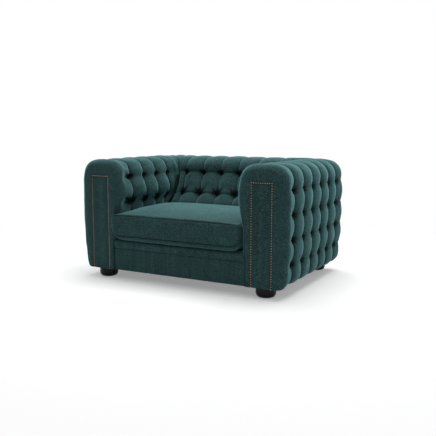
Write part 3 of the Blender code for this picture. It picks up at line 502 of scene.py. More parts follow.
    def outward(self, cell, level, step=0.001):
        """Return the padding's outward directions before it is tufted."""
        over = self.base(cell, np.minimum(level + step, 5.0))
        over = over - self.base(cell, np.maximum(level - step, 0.0))
        forth = self.base(np.minimum(cell + step, self.end), level)
        forth = forth - self.base(np.maximum(cell - step, 0.5), level)
        out = np.cross(over, forth) if self.is_arm else np.cross(forth, over)
        flat = np.broadcast_to((level <= 0.0) | (level >= 5.0), out.shape[:-1])
        out[flat, 2] = 0.0
        return normalised(out)


def outside_share(level):
    """Return 0 on the inside of a section and 1 on its outside."""
    start = 2.4
    slope = 1.2
    return ease((level - start) / slope)


class TuftedSkin:
    """The tufted cover of a run, sampled finely near its pleats and rows."""

    # Sampling of the plain inside, the tufted inside, the top, the rows outside and each cell
    plain_steps = 12
    inside_step = 0.003
    inside_below = 0.110
    inside_above = 0.055
    top_steps = 50
    row_steps = 14
    cell_steps = 18
    measure_steps = 8000
    # Form of a tuft: fullness beside a row's fold and round the funnel, and the narrow core's share
    row_fullness = 3.5
    funnel_fullness = 2.0
    core_share = 0.55
    # The small folds round a tuft: how many in a turn, and where they start and end
    gather_count = 8.0
    gather_start = 0.12
    gather_end = 0.62
    # The heart of painted shade: how narrow it is sideways, its rise and its spread, in the upper and the
    # lower row
    heart_narrow = 0.6
    heart_rise = (0.008, 0.013)
    heart_spread = (1.1, 1.25)
    # How much painted shade pleats, funnels, hearts and gathers get
    pleat_shade = 0.25
    funnel_shade = 0.35
    heart_shade = 1.2
    gather_shade = 1.3
    # The lower inside row: how much wider its pits are, how far its part reaches above it and how it fades
    low_pit = 1.3
    low_start = 0.045
    low_slope = 0.05
    # Strength of the gathers in the upper and the lower inside row, and how soon they show above a row
    gathers_inside = (0.5, 1.3)
    gathers_slope = 0.012
    # Darkness of the painted shade in the hearts in the corner and outside, and strength of the gathers
    # outside
    corner_dark = 0.2
    outside_dark = 0.8
    gathers_outside = 0.3
    # Height, as a share of the top's, from which pleats take the depth that they have over the top
    top_start = 0.86
    # Where the tufting starts, from the fold height up, and over what height it deepens
    tuft_start = -0.04
    tuft_slope = 0.06
    # The part of an arm's roll that is drawn back: its height as a share of the top's, its width, and
    # where it starts along the arm
    roll_place = 0.93
    roll_width = 0.034
    roll_start = 0.03
    roll_slope = 0.09
    # Level from which padding is drawn downwards too; below, it is drawn in level
    down_start = 2.2
    down_slope = 0.4
    # Direction in which the pleat of the right inside corner is drawn in, and where it starts to turn there
    corner_inward = (0.2, 0.98, 0.0)
    corner_start = 0.3
    corner_slope = 0.5
    # Painted shade on the low inside, darker towards the bottom: how dark it is, and how far above the fold
    # height it reaches
    low_inside_darkness = 0.40
    low_inside_reach = 0.13
    # Painted shade on an arm under the cushion's front: how dark, from where along the arm and up to what
    # height
    under_shade = 0.9
    under_start = 0.001
    under_start_slope = 0.005
    under_height = 0.16
    under_slope = 0.02
    # Painted shade on an arm beside the cushion's front: how dark, over what length and up to what height
    beside_seat_shade = 0.45
    beside_seat_length = 0.11
    beside_seat_height = 0.42
    beside_seat_slope = 0.08
    # Where the inside corner's painted shade starts towards its mitre and how dark it is, for an arm and
    # the back, and where it fades below the upper row
    recess_arm = (0.30, 0.62)
    recess_back = (0.60, 0.80)
    recess_slope = 0.50
    recess_below = 0.030
    recess_fade = 0.040
    # Darkness of the painted shade in the corner's notch above its upper row, the notch's level and width,
    # and where it starts
    notch_shade = 0.50
    notch_level = 2.42
    notch_width = 0.08
    notch_start = 0.84
    notch_slope = 0.14

    def __init__(self, arm, tufts):
        self.tufts = tufts
        inside = [TOP - tufts.inside_row_drop - tufts.inside_row_pitch * row for row in (1, 0)]
        outside = [TOP - tufts.outside_row_drop - tufts.outside_row_pitch * row for row in range(4)]
        self.dense = np.linspace(0.0, 5.0, self.measure_steps + 1)
        across, height = arm.section(self.dense)
        steps = np.hypot(np.diff(across), np.diff(height))
        self.length = np.concatenate([[0.0], np.cumsum(steps)])
        middle = self.measure_steps * 3 // 5
        rows_in = np.interp(inside, height[:middle], self.length[:middle])
        rows_out = np.interp(outside, height[:middle:-1], self.length[:middle:-1])
        self.rows = np.concatenate([rows_in, rows_out])

    def place(self, level):
        """Return how far along the section of an arm a level lies."""
        return np.interp(level, self.dense, self.length)

    def levels(self):
        """Return the levels at which the cover is sampled."""
        rows = self.rows
        low = rows[0] - self.inside_below
        high = rows[1] + self.inside_above
        over = mix(high, rows[2], np.sin(np.linspace(0.0, math.pi / 2, self.top_steps)))
        places = [np.linspace(0.0, low, self.plain_steps), np.arange(low, high, self.inside_step), over]
        for start, stop in zip(rows[2:], [*rows[3:], self.length[-1]]):
            places.append(bunched(start, stop, self.row_steps))
        merged = np.unique(np.round(np.concatenate(places), 6))
        return np.interp(merged, self.length, self.dense)

    def cells(self, run):
        """Return the cells at which a run is sampled."""
        first = bunched(0.5 if run.is_arm else 0.0, 1.0, self.cell_steps)
        whole = [bunched(cell, cell + 1, self.cell_steps) for cell in range(1, run.lines_out)]
        corner = bunched(run.lines_out, run.end, self.cell_steps)
        return np.unique(np.round(np.concatenate([first[first >= 0.5], *whole, corner]), 9))

    def row_offset(self, run, cell, level):
        """Return how far along the cover each point lies past its nearest row."""
        place = self.place(level)
        mitre = run.mitre_share(cell)
        rise = run.arch * np.sin(math.pi / 2 * run.pleat_share(cell)[0])
        offsets = [place - row + 0.0 * cell for row in self.rows[2:]]
        for row, shift, corner_shift in zip(self.rows, run.row_shift, self.tufts.corner_row_shift):
            offsets.append(place - row - mix(shift, corner_shift, mitre) - rise)
        offsets = np.stack(offsets)
        nearest = np.abs(offsets).argmin(axis=0)
        return np.take_along_axis(offsets, nearest[None], axis=0)[0]

    def low_share(self, level):
        """Return 1 round the lower inside row and 0 above it."""
        return 1.0 - ease((self.place(level) - self.rows[0] - self.low_start) / self.low_slope)

    def tuft(self, pleat_share, offset, low, topness, make):
        """Return how far points round a tuft are drawn in, and how much painted shade their fold gets.

        The make lists the pitch, the depths of the pleat and the pit, the pit's radius, how much painted
        shade its heart gets, how strong its gathers are and the waist to the next tuft.
        """
        pitch, pleat_depth, pit, radius, dark, gathers, waist = make
        tufts = self.tufts
        row_share = np.abs(offset) / (tufts.outside_row_pitch / 2)
        aside = pleat_share * pitch / 2
        reach = np.hypot(pleat_share, row_share)
        pleat = hollow(pleat_share, tufts.fullness)
        funnel = hollow(reach, self.funnel_fullness)
        soft_row = 0.5 + 0.5 * np.cos(math.pi * np.clip(row_share, 0.0, 1.0))
        between = waist[0] * soft_row + waist[1] * hollow(row_share, self.row_fullness)
        depth = mix(between, mix(pleat_depth, tufts.top_pleat, topness), pleat)
        depth = depth + pit * mix(funnel, bell(np.hypot(aside, offset), radius), self.core_share)
        near = bell(reach, self.gather_end) * (1.0 - bell(reach, self.gather_start))
        gather = gathers * near * np.cos(self.gather_count * np.arctan2(row_share, pleat_share))
        centre = np.hypot(self.heart_narrow * aside, offset - mix(*self.heart_rise, low))
        heart = dark * bell(centre, mix(*self.heart_spread, low) * radius)
        # Painted shade in pleats, funnels, hearts and the gathers' valleys
        shade = self.pleat_shade * pleat + self.funnel_shade * funnel + self.heart_shade * heart
        shade = shade + self.gather_shade * np.clip(gather, 0.0, None)
        return depth + tufts.gather_height * gather, np.clip(shade, 0.0, 1.0)

    def shape(self, run):
        """Return the cover's points and how much painted shade each one gets."""
        tufts = self.tufts
        cell = self.cells(run)[:, None]
        level = self.levels()[None, :]
        share = outside_share(level)
        along = run.along(cell, level)[0]
        height = run.section(level)[1]
        offset = self.row_offset(run, cell, level)
        topness = ease((height / TOP - self.top_start) / (1.0 - self.top_start))
        share_in, share_out = run.pleat_share(cell)
        mitre = run.mitre_share(cell)
        low = self.low_share(level)
        lower = low * (1.0 - mitre)
        dark = mix(1.0, self.corner_dark, mitre)
        inside = (
            run.inside_lines[1],
            mix(run.pleat, tufts.corner_pleat, mitre) * mix(1.0, run.low_draw[0], lower),
            mix(run.pit, tufts.corner_pit, mitre) * mix(1.0, run.low_draw[1], lower),
            tufts.pit_radius * mix(1.0, self.low_pit, low),
            dark,
            mix(*self.gathers_inside, low) * dark * ease(offset / self.gathers_slope),
            run.waist)
        outside = (
            run.outside_lines[1], tufts.outside_pleat, tufts.outside_pit, tufts.pit_radius,
            self.outside_dark, self.gathers_outside, tufts.outside_waist)
        depth_in, fold_in = self.tuft(share_in, offset, low, topness, inside)
        depth_out, fold_out = self.tuft(share_out, offset, low, topness, outside)
        depth = mix(depth_in, depth_out, share)
        above = height - tufts.fold_height
        fade = np.where(level > 2.0, 1.0, ease((above - self.tuft_start) / self.tuft_slope))
        if run.is_arm:
            fade = fade * ease(along / (2 * tufts.front_round))
            roll = bell(height - self.roll_place * TOP, self.roll_width) * (level > 2.0)
            beyond = ease((along - self.roll_start) / self.roll_slope) * (1.0 - share) * (1.0 - mitre)
            depth = depth + beyond * tufts.roll_draw * roll
        inward = -run.outward(cell, level)
        inward[..., 2] *= ease((level - self.down_start) / self.down_slope)
        tucked = (ease((mitre - self.corner_start) / self.corner_slope) * (1.0 - share))[..., None]
        inward = normalised(mix(inward, np.array(self.corner_inward), tucked))
        points = run.base(cell, level) + inward * (depth * fade)[..., None]
        # Painted shade in the inside corner
        recess = self.corner_recess(run, mitre, level) * (1.0 - share)
        # Painted shade, darker towards the bottom of the low inside
        low_inside_shade = self.low_inside_darkness * ease(1.0 - above / self.low_inside_reach) * (level < 2.0)
        fold = np.maximum(np.maximum(mix(fold_in, fold_out, share) * fade, recess), low_inside_shade)
        if run.is_arm:
            # Painted shade on an arm under the cushion's front
            under = ease((self.under_height - height) / self.under_slope) * (level < 1.0)
            under = under * ease((along - self.under_start) / self.under_start_slope)
            # Painted shade on an arm beside the cushion's front
            rubbing_and_shade = ease((self.beside_seat_height - height) / self.beside_seat_slope) * (level < 2.0)
            rubbing_and_shade = rubbing_and_shade * ease(1.0 - along / self.beside_seat_length)
            fold = np.maximum(fold, np.maximum(self.under_shade * under, self.beside_seat_shade * rubbing_and_shade))
        return points, fold

    def corner_recess(self, run, mitre, level):
        """Return how much painted shade the inside corner gets, under its upper row and in the notch above
        it.
        """
        start, dark = self.recess_arm if run.is_arm else self.recess_back
        under = 1.0 - ease((self.place(level) - self.rows[1] + self.recess_below) / self.recess_fade)
        notch = self.notch_shade * bell(level - self.notch_level, self.notch_width)
        notch = notch * ease((mitre - self.notch_start) / self.notch_slope)
        return dark * under * ease((mitre - start) / self.recess_slope) + notch


def grid_normals(points):
    """Return the unit normals of a grid of points."""
    normals = np.cross(np.gradient(points, axis=0), np.gradient(points, axis=1))
    return normals / np.maximum(np.linalg.norm(normals, axis=-1, keepdims=True), 1e-12)


def closed_grid(columns, folds):
    """Return points, faces, fold values and loop size of a grid closed underneath and at its ends."""
    lift = 0.004
    end_depth = 0.004
    end_columns = 8
    count = len(columns)
    across = np.linspace(0.0, 1.0, 5)[1:-1]
    under = [mix(columns[:, -1], columns[:, 0], share) + [0.0, 0.0, lift] for share in across]
    loops = np.concatenate([columns, np.stack(under, axis=1)], axis=1)
    loop_folds = np.concatenate([folds, np.zeros((count, len(across)))], axis=1)
    size = loops.shape[1]
    faces = ring_faces(count, size)
    ends = []
    for start, inward in ((0, 1), (count - 1, -1)):
        middle = loops[start].mean(axis=0)
        step = loops[start + inward * end_columns].mean(axis=0) - middle
        centre = count * size + len(ends)
        ends.append(middle + normalised(step) * end_depth)
        faces += [(start * size + j, start * size + (j + 1) % size, centre) for j in range(size)]
    values = np.concatenate([loop_folds.reshape(-1), np.zeros(len(ends))])
    return np.concatenate([loops.reshape(-1, 3), ends]), faces, values, size


def arm_front(edge):
    """Return columns and painted fold shade of an arm's front, from behind its nail row out to the cover's
    edge.
    """
    steps = 12
    tuck_share = 0.08
    tuck_depth = 0.006
    groove = 0.0012
    groove_width = 0.16
    groove_shade = 0.45
    pillow = 0.0022
    squareness = 0.8
    gather = 0.0024
    gather_pitch = 0.0165
    gather_reach = 0.55
    gather_shade = 0.3
    top_slope = 0.004
    rectangle = nail_line_points(edge)
    tucked = mix(rectangle, np.array([ARM_MIDDLE_X, 0.0, NAIL_TOP / 2]), tuck_share)
    tucked[:, 1] = tuck_depth
    tucked[:, 2] = np.where(edge[:, 2] <= 0.0, 0.0, tucked[:, 2])
    columns = [tucked]
    # Painted shade: the tucked column behind the nail row is fully dark
    folds = [np.ones(len(edge))]
    turn = np.cumsum(np.linalg.norm(np.diff(rectangle, axis=0, prepend=rectangle[:1]), axis=1))
    top = ease((rectangle[:, 2] - NAIL_TOP) / top_slope + 1.0)
    waves = top * np.sin(2 * math.pi * turn / gather_pitch)
    for share in np.arange(steps) / steps:
        near = bell(share, groove_width)
        wave = waves * bell(share, gather_reach)
        column = mix(rectangle, edge, share)
        column[:, 1] = groove * near - pillow * np.sin(math.pi * share) ** squareness
        column[:, 1] -= gather * wave * (1.0 - near * 0.5)
        columns.append(column)
        # Painted shade in the groove beside the nails and in the gathers' valleys
        folds.append(groove_shade * near + gather_shade * np.clip(-wave, 0.0, 1.0))
    return np.array(columns), np.array(folds)


def nail_line_points(edge):
    """Return, for each point of an arm's front edge, the point of the nail line that faces it."""
    hub = NAIL_TOP - NAIL_HALF
    sideways = edge[:, 0] - ARM_MIDDLE_X
    upward = np.maximum(edge[:, 2] - hub, 0.0)
    scale = NAIL_HALF / np.maximum(np.abs(sideways), upward)
    z = np.where(edge[:, 2] <= hub, edge[:, 2], hub + upward * scale)
    return np.stack([ARM_MIDDLE_X + sideways * scale, np.zeros(len(edge)), z], axis=-1)


def tufted_sheet(tufts):
    """Return the cover's grid from the left arm's front to the right arm's, its folds, and its pieces.

    Each piece has the columns at which it starts and stops and those at which it meets another piece.
    """
    back_lean = 0.065
    hem_height = 0.06
    hem_edge = 0.002
    even_slope = 0.05
    quiet_columns = 4
    quiet_share = 0.25
    arm = PaddedRun(tufts, True, INSIDE_X, ARM_LOW.x, ARM_HIGH.x, tufts.outside_swell,
                    (tufts.arm_inside_first, tufts.arm_inside_pitch),
                    (tufts.arm_outside_first, tufts.arm_outside_pitch))
    lines = (tufts.back_pitch / 2, tufts.back_pitch)
    back = PaddedRun(
        tufts, False, INSIDE_Y, INSIDE_Y + back_lean, BACK_HIGH.y, tufts.back_swell, lines, lines)
    arm.meet(back)
    back.meet(arm)
    skin = TuftedSkin(arm, tufts)
    arm_points, arm_fold = skin.shape(arm)
    back_points, back_fold = skin.shape(back)
    front_points, front_fold = arm_front(arm_points[0])
    arm_points = np.concatenate([front_points, arm_points])
    arm_fold = np.concatenate([front_fold, arm_fold])
    left = np.concatenate([arm_points, back_points[-2::-1]]) * np.array([-1.0, 1.0, 1.0])
    whole = np.concatenate([left, back_points[1:-1], arm_points[::-1]])
    folds = np.concatenate([arm_fold, back_fold[-2::-1], back_fold[1:-1], arm_fold[::-1]])
    whole[..., 2] -= tufts.hem_drop * ease(1.0 - whole[..., 2] / hem_height)
    quiet = np.ones(len(whole))
    quiet[:len(front_points) + quiet_columns] = quiet_share
    quiet[-len(front_points) - quiet_columns:] = quiet_share
    uneven = np.where(skin.levels() > 2.0, 1.0, ease((whole[..., 2] - tufts.fold_height) / even_slope))
    uneven = uneven * quiet[:, None] * (whole[..., 2] > hem_edge - tufts.hem_drop)
    wavy = ripple(whole, wavelength=0.085, height=0.0028) + ripple(whole, wavelength=0.030, height=0.0009)
    whole = whole + grid_normals(whole) * (wavy * uneven)[..., None]
    left_end = len(arm_points) - 1
    right_start = left_end + 2 * len(back_points) - 2
    pieces = {
        "left_arm_cover": (0, left_end + 1, (left_end,)),
        "back_cover": (left_end, right_start + 1, (left_end, right_start)),
        "right_arm_cover": (right_start, len(whole), (right_start,)),
    }
    return whole, folds, pieces


def tufted_pieces(tufts):
    """Return name, points, faces, fold values and fixed normals of the arms and the back."""
    whole, folds, cuts = tufted_sheet(tufts)
    normals = grid_normals(whole)
    rows = whole.shape[1]
    pieces = []
    for name, (start, stop, joins) in cuts.items():
        points, faces, values, size = closed_grid(whole[start:stop], folds[start:stop])
        fixed = np.zeros((len(points), 3))
        for join in joins:
            first = (join - start) * size
            fixed[first:first + rows] = normals[join]
        for row in (0, rows - 1):
            level_out = normals[start:stop, row] * np.array([1.0, 1.0, 0.0])
            fixed[row:(stop - start) * size:size] = normalised(level_out)
        pieces.append((name, points, faces, values, fixed))
    return pieces


# Materials

# Velvets: the stretch of the laid pile's strokes, the tones that they add, their height, and the sheen.
# Padded pieces have plain pile, with a sheenless copy as painted shade on faces deep in folds; flat ones
# are brushed; the cushion is stroked, its tones also painting its top lighter.
VELVETS = {
    "teal_velvet": ((40.0, 40.0, 40.0), (0.0, 0.0), 0.0, 0.66),
    "teal_velvet_crushed": ((40.0, 40.0, 40.0), (0.0, 0.0), 0.0, 0.0),
    "teal_velvet_brushed": ((26.0, 26.0, 1.6), (-0.22, 0.22), 0.0, 0.66),
    # The cushion's tones lift its top: painted light
    "teal_velvet_stroked": ((100.0, 30.0, 100.0), (0.0, 1.3), 0.0030, 0.55),
}


def new_material(name):
    """Return a material with its tree and its Principled shader."""
    material = bpy.data.materials.new(name)
    material.use_nodes = True
    return material, material.node_tree, material.node_tree.nodes["Principled BSDF"]


def put(tree, value, socket):
    """Link a socket to another one, or set it to a plain value."""
    if isinstance(value, NodeSocket):
        tree.links.new(value, socket)
    else:
        socket.default_value = value


def set_inputs(tree, node, **inputs):
    """Set a node's inputs by name; spaces are written as underscores."""
    for name, value in inputs.items():
        put(tree, value, node.inputs[name.replace("_", " ")])


def add_node(tree, kind, **inputs):
    """Add a shader node and set its inputs."""
    node = tree.nodes.new(kind)
    set_inputs(tree, node, **inputs)
    return node


def object_coordinates(tree, stretch=(1.0, 1.0, 1.0)):
    """Return the object's coordinates, stretched along its axes."""
    where = tree.nodes.new("ShaderNodeTexCoord").outputs["Object"]
    return add_node(tree, "ShaderNodeMapping", Vector=where, Scale=stretch).outputs["Vector"]


def noise_value(tree, where, scale, detail, roughness):
    """Return a noise texture's value."""
    texture = add_node(
        tree, "ShaderNodeTexNoise", Vector=where, Scale=scale, Detail=detail, Roughness=roughness)
    return texture.outputs["Fac"]


def stored_value(tree, name):
    """Return a number that is stored on the points of a piece."""
    node = tree.nodes.new("ShaderNodeAttribute")
    node.attribute_name = name
    return node.outputs["Fac"]


def arithmetic(tree, operation, first, *others):
    """Return the result of a sum on values or sockets, taken one after another."""
    for other in others:
        node = tree.nodes.new("ShaderNodeMath")
        node.operation = operation
        put(tree, first, node.inputs[0])
        put(tree, other, node.inputs[1])
        first = node.outputs[0]
    return first


def spread(tree, value, low, high):
    """Return a noise value, which keeps mostly between 0.3 and 0.7, mapped to a range."""
    node = add_node(
        tree, "ShaderNodeMapRange", Value=value, From_Min=0.3, From_Max=0.7, To_Min=low, To_Max=high)
    return node.outputs["Result"]


def between(tree, share, first, second):
    """Return a colour that a share takes from a first to a second colour."""
    node = tree.nodes.new("ShaderNodeMix")
    node.data_type = "RGBA"
    put(tree, share, node.inputs["Factor"])
    sockets = [socket for socket in node.inputs if socket.type == "RGBA"]
    for socket, value in zip(sockets, (first, second)):
        socket.default_value = (*value, 1.0)
    return next(socket for socket in node.outputs if socket.type == "RGBA")


def toned(tree, share, shade, low, high):
    """Return a colour that a share takes from a darker to a lighter tone of a shade."""
    tones = [[min(channel * factor, 1.0) for channel in shade] for factor in (low, high)]
    return between(tree, share, *tones)


def bumped(tree, height, strength=1.0, distance=1.0):
    """Return the normal of a surface with a height of its own."""
    bump = add_node(tree, "ShaderNodeBump", Strength=strength, Distance=distance, Height=height)
    return bump.outputs["Normal"]


def velvet_material(name, finish):
    """Return short-pile velvet: brushed nap, fine pile, painted fold shade and top light, sheen along its
    tips.
    """
    fold_dark = 0.92
    grain_height = 0.0008
    pile_height = 0.0002
    brightest = 4.0
    material, tree, shader = new_material(name)
    streak, tones, nap, sheen = VELVETS[name]
    plain = object_coordinates(tree)
    patches = noise_value(tree, plain, scale=9.0, detail=2.0, roughness=0.5)
    brushed = noise_value(tree, object_coordinates(tree, streak), scale=1.0, detail=3.0, roughness=0.6)
    grain = noise_value(tree, plain, scale=190.0, detail=2.0, roughness=0.6)
    pile = noise_value(tree, plain, scale=900.0, detail=2.0, roughness=0.6)
    # The stored nap value scales the strokes; where their tones lift, as on the cushion's top, light is
    # painted in
    nap_and_top_light = stored_value(tree, "nap")
    strokes_and_top_light = arithmetic(tree, "MULTIPLY", spread(tree, brushed, *tones), nap_and_top_light)
    strokes_and_top_light = arithmetic(tree, "ADD", strokes_and_top_light, 1.0)
    # Painted shade: the stored fold value darkens the pile
    folded = arithmetic(tree, "MULTIPLY", stored_value(tree, "fold"), fold_dark)
    shade = arithmetic(tree, "SUBTRACT", 1.0, folded)
    tone = arithmetic(
        tree, "MULTIPLY", spread(tree, patches, 0.93, 1.07), strokes_and_top_light, spread(tree, grain, 0.30, 1.70),
        spread(tree, pile, 0.80, 1.20), shade)
    height = arithmetic(
        tree, "ADD", arithmetic(tree, "MULTIPLY", grain, grain_height),
        arithmetic(tree, "MULTIPLY", pile, pile_height),
        arithmetic(tree, "MULTIPLY", brushed, arithmetic(tree, "MULTIPLY", nap_and_top_light, nap)))
    share = arithmetic(tree, "MULTIPLY", tone, 1.0 / brightest)
    set_inputs(
        tree, shader, Base_Color=toned(tree, share, finish.velvet, 0.0, brightest), Roughness=0.88,
        Specular_IOR_Level=0.10, Sheen_Weight=sheen, Sheen_Roughness=0.40,
        Sheen_Tint=(*finish.velvet_sheen, 1.0), Normal=bumped(tree, height))
    return material


def nail_material(name, finish):
    """Return aged brass, browned and dulled in patches."""
    material, tree, shader = new_material(name)
    patina = noise_value(tree, object_coordinates(tree), scale=160.0, detail=3.0, roughness=0.6)
    set_inputs(
        tree, shader, Base_Color=toned(tree, spread(tree, patina, 0.0, 1.0), finish.nail, 0.62, 1.30),
        Roughness=spread(tree, patina, 0.50, 0.28), Metallic=1.0)
    return material


def lacquer_material(name, finish):
    """Return black lacquer, its gloss broken by fine rubbing."""
    material, tree, shader = new_material(name)
    rubbing_and_shade = noise_value(tree, object_coordinates(tree), scale=70.0, detail=4.0, roughness=0.6)
    set_inputs(
        tree, shader, Base_Color=toned(tree, rubbing_and_shade, finish.lacquer, 0.7, 1.5),
        Roughness=spread(tree, rubbing_and_shade, 0.14, 0.34), Specular_IOR_Level=0.14,
        Normal=bumped(tree, rubbing_and_shade, strength=0.08, distance=0.0006))
    return material


def wood_material(name, finish):
    """Return planed hardwood with long grain and fine pores."""
    material, tree, shader = new_material(name)
    along_grain = object_coordinates(tree, (9.0, 9.0, 60.0))
    along_pores = object_coordinates(tree, (60.0, 60.0, 700.0))
    grain = noise_value(tree, along_grain, scale=1.0, detail=4.0, roughness=0.6)
    pores = noise_value(tree, along_pores, scale=1.0, detail=2.0, roughness=0.5)
    set_inputs(
        tree, shader, Base_Color=toned(tree, spread(tree, grain, 0.0, 1.0), finish.wood, 0.68, 1.18),
        Roughness=spread(tree, pores, 0.55, 0.80), Normal=bumped(tree, pores, strength=0.15, distance=0.0008))
    return material


def steel_material(name, finish):
    """Return drawn steel wire, dulled in streaks."""
    material, tree, shader = new_material(name)
    along_wire = object_coordinates(tree, (250.0, 60.0, 250.0))
    dulled = noise_value(tree, along_wire, scale=1.0, detail=3.0, roughness=0.6)
    set_inputs(
        tree, shader, Base_Color=between(tree, dulled, finish.dull_steel, finish.steel),
        Roughness=spread(tree, dulled, 0.45, 0.25), Metallic=1.0)
    return material


def dust_cloth_material(name, finish):
    """Return thin black nonwoven cloth with a speckle of bonded points."""
    material, tree, shader = new_material(name)
    plain = object_coordinates(tree)
    dots = add_node(tree, "ShaderNodeTexVoronoi", Vector=plain, Scale=420.0).outputs["Distance"]
    fibres = noise_value(tree, plain, scale=300.0, detail=4.0, roughness=0.7)
    set_inputs(
        tree, shader, Base_Color=toned(tree, fibres, finish.dust_cloth, 0.6, 1.6), Roughness=0.95,
        Normal=bumped(tree, dots, strength=0.3, distance=0.0005))
    return material


MAKERS = {
    "aged_brass": nail_material,
    "black_lacquer": lacquer_material,
    "planed_hardwood": wood_material,
    "drawn_steel": steel_material,
    "nonwoven_cloth": dust_cloth_material,
}


def finish_named(context, name):
    """Return the material of that name, made once."""
    make = MAKERS.get(name, velvet_material)
    return bpy.data.materials.get(name) or make(name, context.scene.snuggle_chair.finish)


# Operators, one for each piece or group of like pieces, each followed by the functions that it needs

class SNUGGLE_OT_tufted_cover(Operator):
    """Add the tufted velvet cover of the arms and the back."""

    bl_idname = "snuggle.tufted_cover"
    bl_label = "Tufted Cover"

    def execute(self, context):
        tufts = context.scene.snuggle_chair.tufts
        for name, points, faces, values, fixed in tufted_pieces(tufts):
            piece = mesh_object(name, points, faces, finish_named(context, "teal_velvet"))
            keep_point_values(piece, "fold", values)
            # Faces deep in folds wear a sheenless copy of the velvet: painted shade
            piece.data.materials.append(finish_named(context, "teal_velvet_crushed"))
            shaded = [int(np.mean(values[list(face)]) > tufts.painted_shade_fold) for face in faces]
            piece.data.polygons.foreach_set("material_index", shaded)
            piece.data.normals_split_custom_set_from_vertices([tuple(normal) for normal in fixed])
            dress(piece, CHAIR, "velvet", name.replace("cover", "pad"))
        return {"FINISHED"}


class SNUGGLE_OT_arm_facings(Operator):
    """Add the plain panel on the front of each arm."""

    bl_idname = "snuggle.arm_facings"
    bl_label = "Arm Facings"

    def execute(self, context):
        margin = 0.0015
        edge_depth = 0.0022
        pillow = 0.0046
        edge_width = 0.012
        edge_shade = 0.45
        half = NAIL_HALF - margin
        bottom = -context.scene.snuggle_chair.tufts.hem_drop
        upward = bunched(bottom, NAIL_TOP - margin, 60)
        x, z = np.meshgrid(bunched(-half, half, 22), upward, indexing="ij")
        sunk = np.exp(-np.minimum(half - np.abs(x), upward[-1] - z) / edge_width)
        # Painted shade along the panel's sunk edges
        folds = np.where(z > bottom, edge_shade * sunk, 0.0)
        rear = body_box("right_arm_facing")[1].y
        for word, side in SIDES:
            columns = np.stack([side * ARM_MIDDLE_X + x, edge_depth - pillow * (1.0 - sunk), z], axis=-1)
            columns[..., 1] -= ripple(columns, wavelength=0.06, height=0.0012)
            velvet = finish_named(context, "teal_velvet_brushed")
            piece = slab(word + "_arm_front_panel", columns, folds, axis=1, rear=rear, material=velvet)
            dress(piece, CHAIR, "velvet", word + "_arm_facing")
        return {"FINISHED"}


def slab(name, columns, folds, axis, rear, material):
    """Return a closed slab: a grid of points, and behind it a flat rear at a place on an axis."""
    count, rows = columns.shape[:2]
    size = count * rows
    front = columns.reshape(-1, 3)
    back = front.copy()
    back[:, axis] = rear
    faces = grid_faces(np.arange(size).reshape(count, rows).tolist())
    faces += [tuple(size + corner for corner in reversed(face)) for face in faces]
    rim = [i * rows + j for i, j in perimeter(count, rows)]
    for here, after in zip(rim, rim[1:] + rim[:1]):
        faces.append((here, after, size + after, size + here))
    piece = mesh_object(name, np.concatenate([front, back]), faces, material, sharp=60.0)
    keep_point_values(piece, "fold", np.concatenate([folds.reshape(-1), np.zeros(size)]))
    keep_point_values(piece, "nap", np.ones(2 * size))
    return piece


class SNUGGLE_OT_nail_rows(Operator):
    """Add the rows of dome-headed nails round the arm fronts."""

    bl_idname = "snuggle.nail_rows"
    bl_label = "Nail Rows"

    def execute(self, context):
        settings = context.scene.snuggle_chair
        nails = settings.nails
        for word, side in SIDES:
            points = []
            faces = []
            for x, z in nail_places(nails.pitch, nails.radius - settings.tufts.hem_drop):
                add_nail(points, faces, side * ARM_MIDDLE_X + x, z, nails)
            piece = mesh_object(word + "_nail_row", points, faces, finish_named(context, "aged_brass"))
            dress(piece, CHAIR, "nail_brass", word + "_nail_strip")
        return {"FINISHED"}


def nail_places(pitch, bottom):
    """Return where the nails stand, as x from the arm's middle and height: the uprights, then the top."""
    count_up = round((NAIL_TOP - bottom) / pitch)
    count_over = round(2 * NAIL_HALF / pitch)
    places = []
    for i in range(count_up):
        z = mix(bottom, NAIL_TOP, i / count_up)
        places += [(-NAIL_HALF, z), (NAIL_HALF, z)]
    for i in range(count_over + 1):
        places.append((mix(-NAIL_HALF, NAIL_HALF, i / count_over), NAIL_TOP))
    return places


def add_nail(points, faces, x, z, nails):
    """Add one dome and its flat back to lists of points and faces."""
    segments = 12
    rings = 4
    rim_depth = 0.0004
    back_depth = 0.0012
    start = len(points)
    for ring in range(rings):
        turn = math.pi / 2 * ring / rings
        radius = nails.radius * math.cos(turn)
        depth = rim_depth - nails.height * math.sin(turn)
        for i in range(segments):
            angle = 2 * math.pi * i / segments
            points.append((x + radius * math.cos(angle), depth, z + radius * math.sin(angle)))
    points += [(x, rim_depth - nails.height, z), (x, back_depth, z)]
    faces += ring_faces(rings, segments, start)
    crown = start + rings * segments
    last = crown - segments
    for i in range(segments):
        after = (i + 1) % segments
        faces.append((last + i, last + after, crown))
        faces.append((start + after, start + i, crown + 1))


class SNUGGLE_OT_seat_front(Operator):
    """Add the padded band under the cushion and the plain panel below it."""

    bl_idname = "snuggle.seat_front"
    bl_label = "Seat Front"

    def execute(self, context):
        overlap = 0.016
        drop = context.scene.snuggle_chair.tufts.hem_drop
        for name, node, hang, rounds, pillow, pull, fill in (
                ("seat_border", "front_border", 0.0, (0.018, 0.004), 0.0035, 0.0, 0.85),
                ("seat_front_panel", "front_panel", drop, (0.006, 0.003), 0.0015, 0.0022, 0.95)):
            low, high = body_box(node)
            half = overlap - low.x
            section = band_section(low - Vector((0.0, 0.0, hang)), high, *rounds, pillow)
            piece = swept_band(name, section, half, pull, finish_named(context, "teal_velvet_brushed"))
            dress(piece, CHAIR, "velvet", node)
        return {"FINISHED"}


